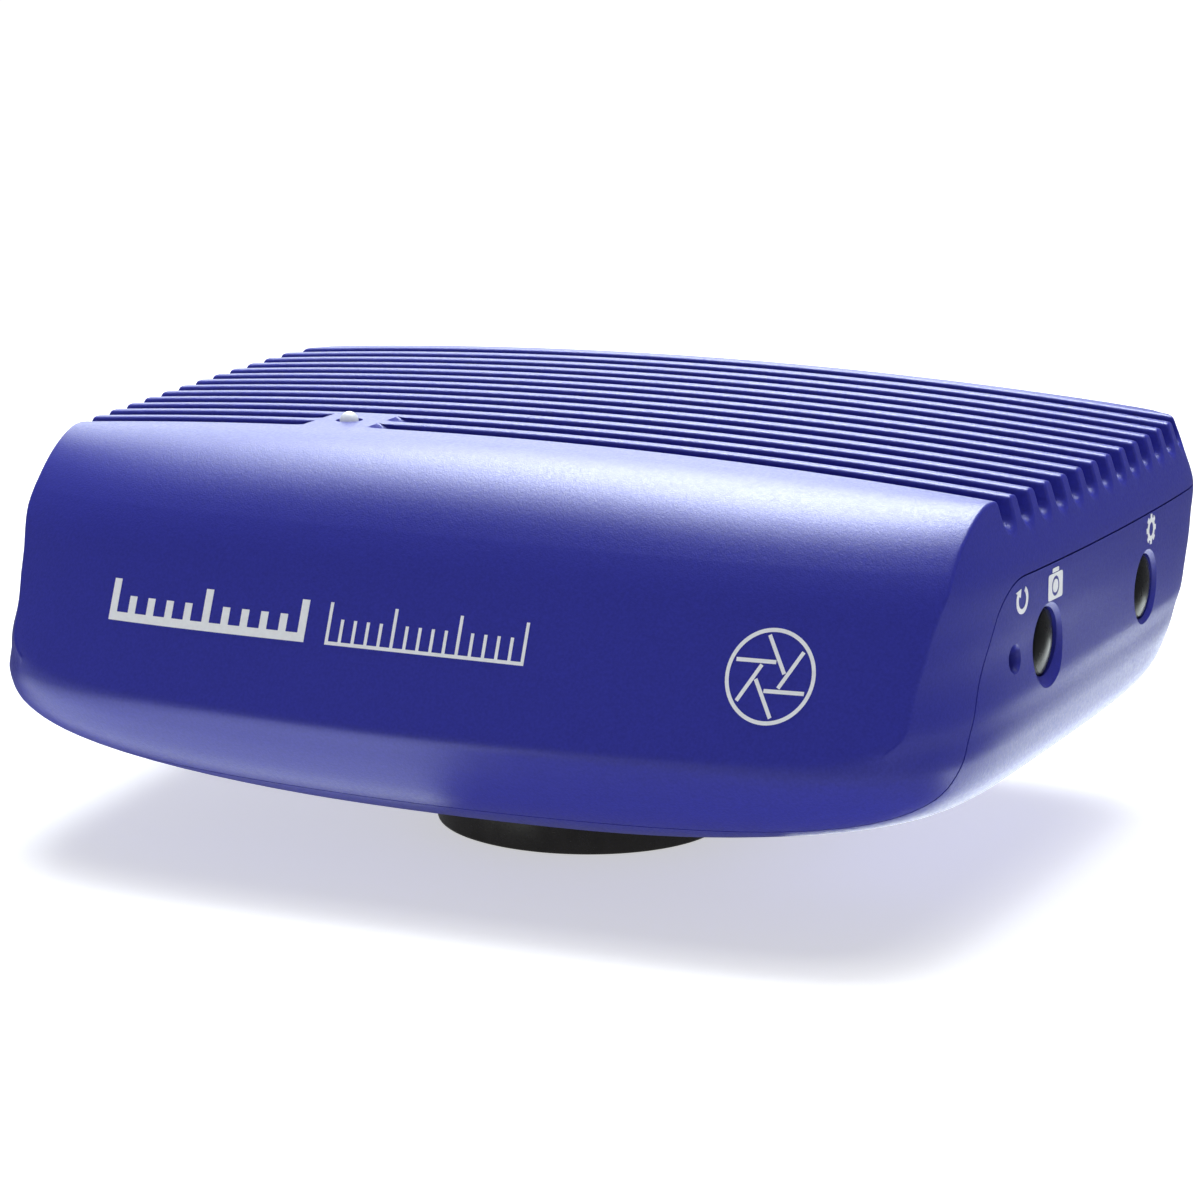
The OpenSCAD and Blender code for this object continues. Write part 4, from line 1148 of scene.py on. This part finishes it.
LOOKS = {look.name: look for look in (
    paint,
    Look("black_anodised", (0.07, 0.066, 0.06), 0.32, 0.7).mottle(3, 0.2)
    .gloss(0.6, 0.06, (1, 1, 4)).bump(0.2, 0.004, stretch=(0.3, 0.3, 3)),
    metal_look("black_steel", (0.05, 0.05, 0.055), 0.35),
    metal_look("bright_steel", (0.62, 0.62, 0.64), 0.28),
    metal_look("raw_aluminium", (0.6, 0.61, 0.63), 0.33, (0.1, 1, 1)),
    plastic_look("seal_rubber", (0.02, 0.02, 0.02), 0.75),
    Look("filter_glass", (0.62, 0.8, 0.88), 0.04, Transmission_Weight=0.9, IOR=1.5)
    .gloss(9, 0.015).mottle(12, 0.05),
    circuit_look(),
    plastic_look("chip_plastic", (0.02, 0.02, 0.022), 0.55),
    Look("panel_black", (0.014, 0.014, 0.016), 0.5).mottle(5, 0.2).gloss(0.8, 0.06)
    .bump(0.4, 0.05, detail=2),
    plastic_look("connector_plastic", (0.68, 0.6, 0.42), 0.45),
    plastic_look("ribbon_film", (0.42, 0.16, 0.02), 0.25, Coat_Weight=0.5),
    metal_look("brass", (0.75, 0.5, 0.16), 0.28),
    plastic_look("thermal_pad", (0.2, 0.25, 0.36), 0.8),
    Look("button_black", (0.008, 0.008, 0.009), 0.26, IOR=1.2)
    .mottle(3, 0.2).gloss(2.5, 0.03).bump(1.4, 0.006),
    plastic_look("plunger_plastic", (0.72, 0.72, 0.7), 0.5),
    plastic_look("led_body", (0.85, 0.83, 0.55), 0.2, Transmission_Weight=0.2),
    # The light pipe's emission is painted light: a faint painted glow that keeps its dome bright
    Look("light_pipe_clear", (0.86, 0.89, 0.95), 0.16, Transmission_Weight=0.12, IOR=1.49,
         Emission_Color=(0.9, 0.95, 1.0, 1), Emission_Strength=0.16)
    .mottle(1.2, 0.06).gloss(0.8, 0.05).bump(0.4, 0.006),
    metal_look("port_metal", (0.6, 0.61, 0.63), 0.22, (1, 0.15, 1)),
)}
INK = Look("printed_ink", (0.86, 0.87, 0.9), 0.42).mottle(0.6, 0.05).gloss(0.6, 0.05).bump(0.35, 0.01)


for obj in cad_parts.values():
    for piece_slot in obj.material_slots:
        piece_slot.material = LOOKS[piece_slot.material.name.split(".")[0]].material


def finish_piece(obj, body, slot_name, look, *nodes):
    """Gives a new piece its look, its body and the CAD nodes that it stands for. slot_name is not used."""
    obj.data.materials.clear()
    obj.data.materials.append(look.material)
    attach(obj, body)
    if nodes:
        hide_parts(*nodes)


fixed_pieces = ((upper, "blue_paint", "upper_shell"), (lower, "blue_paint", "lower_shell"),
                (ring, "black_anodised", "mount_ring"), (pipe, "light_pipe_clear", "light_pipe"))
for obj, slot_name, node in fixed_pieces:
    finish_piece(obj, "housing", slot_name, LOOKS[slot_name], node)
for name, obj in buttons.items():
    finish_piece(obj, name, "button_black", LOOKS["button_black"], name)
for obj in marks:
    finish_piece(obj, "housing", "plunger_plastic", INK)


# ---- Floor, light and camera ----

FLOOR_HALF = 9.0
FLOOR_Z = -9e-5  # keeps the floor just clear of the ring's face
floor_mesh = bpy.data.meshes.new("floor")
floor_corners = [(x * FLOOR_HALF, y * FLOOR_HALF, FLOOR_Z) for x, y in ((-1, -1), (1, -1), (1, 1), (-1, 1))]
floor_mesh.from_pydata(floor_corners, [], [(0, 1, 2, 3)])
floor = bpy.data.objects.new("floor", floor_mesh)
COLLECTION.objects.link(floor)
floor_look = Look("floor", (0.7, 0.7, 0.705), 0.9, Emission_Color=(1.0, 1.0, 1.0, 1), Emission_Strength=0.56)
floor_look.mottle(900, 0.02)
floor_mesh.materials.append(floor_look.material)

world = bpy.data.worlds.new("studio")
bpy.context.scene.world = world
world.use_nodes = True
background = world.node_tree.nodes["Background"]
background.inputs["Color"].default_value = (0.93, 0.95, 1.0, 1)
background.inputs["Strength"].default_value = 0.16


def add_light(name, kind, energy, location, target, **settings):
    """Light aimed at the target, which the camera doesn't see."""
    light = bpy.data.lights.new(name, kind)
    light.energy = energy
    for key, value in settings.items():
        setattr(light, key, value)
    obj = bpy.data.objects.new(name, light)
    COLLECTION.objects.link(obj)
    obj.location = location
    obj.rotation_euler = (Vector(target) - Vector(location)).to_track_quat("-Z", "Y").to_euler()
    obj.visible_camera = False
    return obj


COOL = (0.9, 0.98, 0.97)
AIM = (0, 0, 0.05)  # middle of the housing
# soft boxes: name, radiance, place, target, width, height, and whether only reflections show them
PANELS = [
    ("overhead", 6.5, (-0.12, 0.32, 0.9), AIM, 0.8, 0.55, False),
    ("overhead_sheen", 13.5, (-0.16, 0.44, 0.85), AIM, 0.55, 0.62, True),
    ("behind", 3.0, (-0.75, 1.3, 0.75), AIM, 1.1, 1.1, True),
    ("below_front", 2.1, (-0.092, -0.08, 0.002), (-0.092, -0.075, 0.05), 0.17, 0.07, True),
    ("below_right", 3.2, (0.09, 0.066, 0.002), (0.09, 0.066, 0.1), 0.09, 0.19, True),
]
sky = add_light("sky", "SUN", 1.85, (0, 0.25, 1), (0, 0, 0), angle=math.radians(60))
sky.visible_glossy = False
for name, radiance, place, target, width, height, gloss_only in PANELS:
    panel = add_light(name, "AREA", radiance * width * height * math.pi, place, target,
                      shape="RECTANGLE", size=width, size_y=height, color=COOL)
    panel.visible_diffuse = not gloss_only
floor.visible_glossy = False

CAMERA_YAW, CAMERA_PITCH, CAMERA_ROLL = (math.radians(a) for a in (22.155, 12.215, 0.837))
CAMERA_PLACE = (0.24054, -0.58422, 0.17304)
camera_data = bpy.data.cameras.new("camera")
camera_data.lens = 119.684
camera_data.sensor_width = 36.0
camera_data.clip_start, camera_data.clip_end = 0.02, 50.0
camera = bpy.data.objects.new("camera", camera_data)
COLLECTION.objects.link(camera)
forward = Vector((-math.sin(CAMERA_YAW) * math.cos(CAMERA_PITCH),
                  math.cos(CAMERA_YAW) * math.cos(CAMERA_PITCH), -math.sin(CAMERA_PITCH)))
level = Vector((math.cos(CAMERA_YAW), math.sin(CAMERA_YAW), 0))
upright = level.cross(forward)
right = level * math.cos(CAMERA_ROLL) + upright * math.sin(CAMERA_ROLL)
up = upright * math.cos(CAMERA_ROLL) - level * math.sin(CAMERA_ROLL)
turn = Matrix((right, up, -forward)).transposed().to_4x4()
camera.matrix_world = Matrix.Translation(CAMERA_PLACE) @ turn
bpy.context.scene.camera = camera
bpy.context.scene.view_settings.view_transform = "Standard"
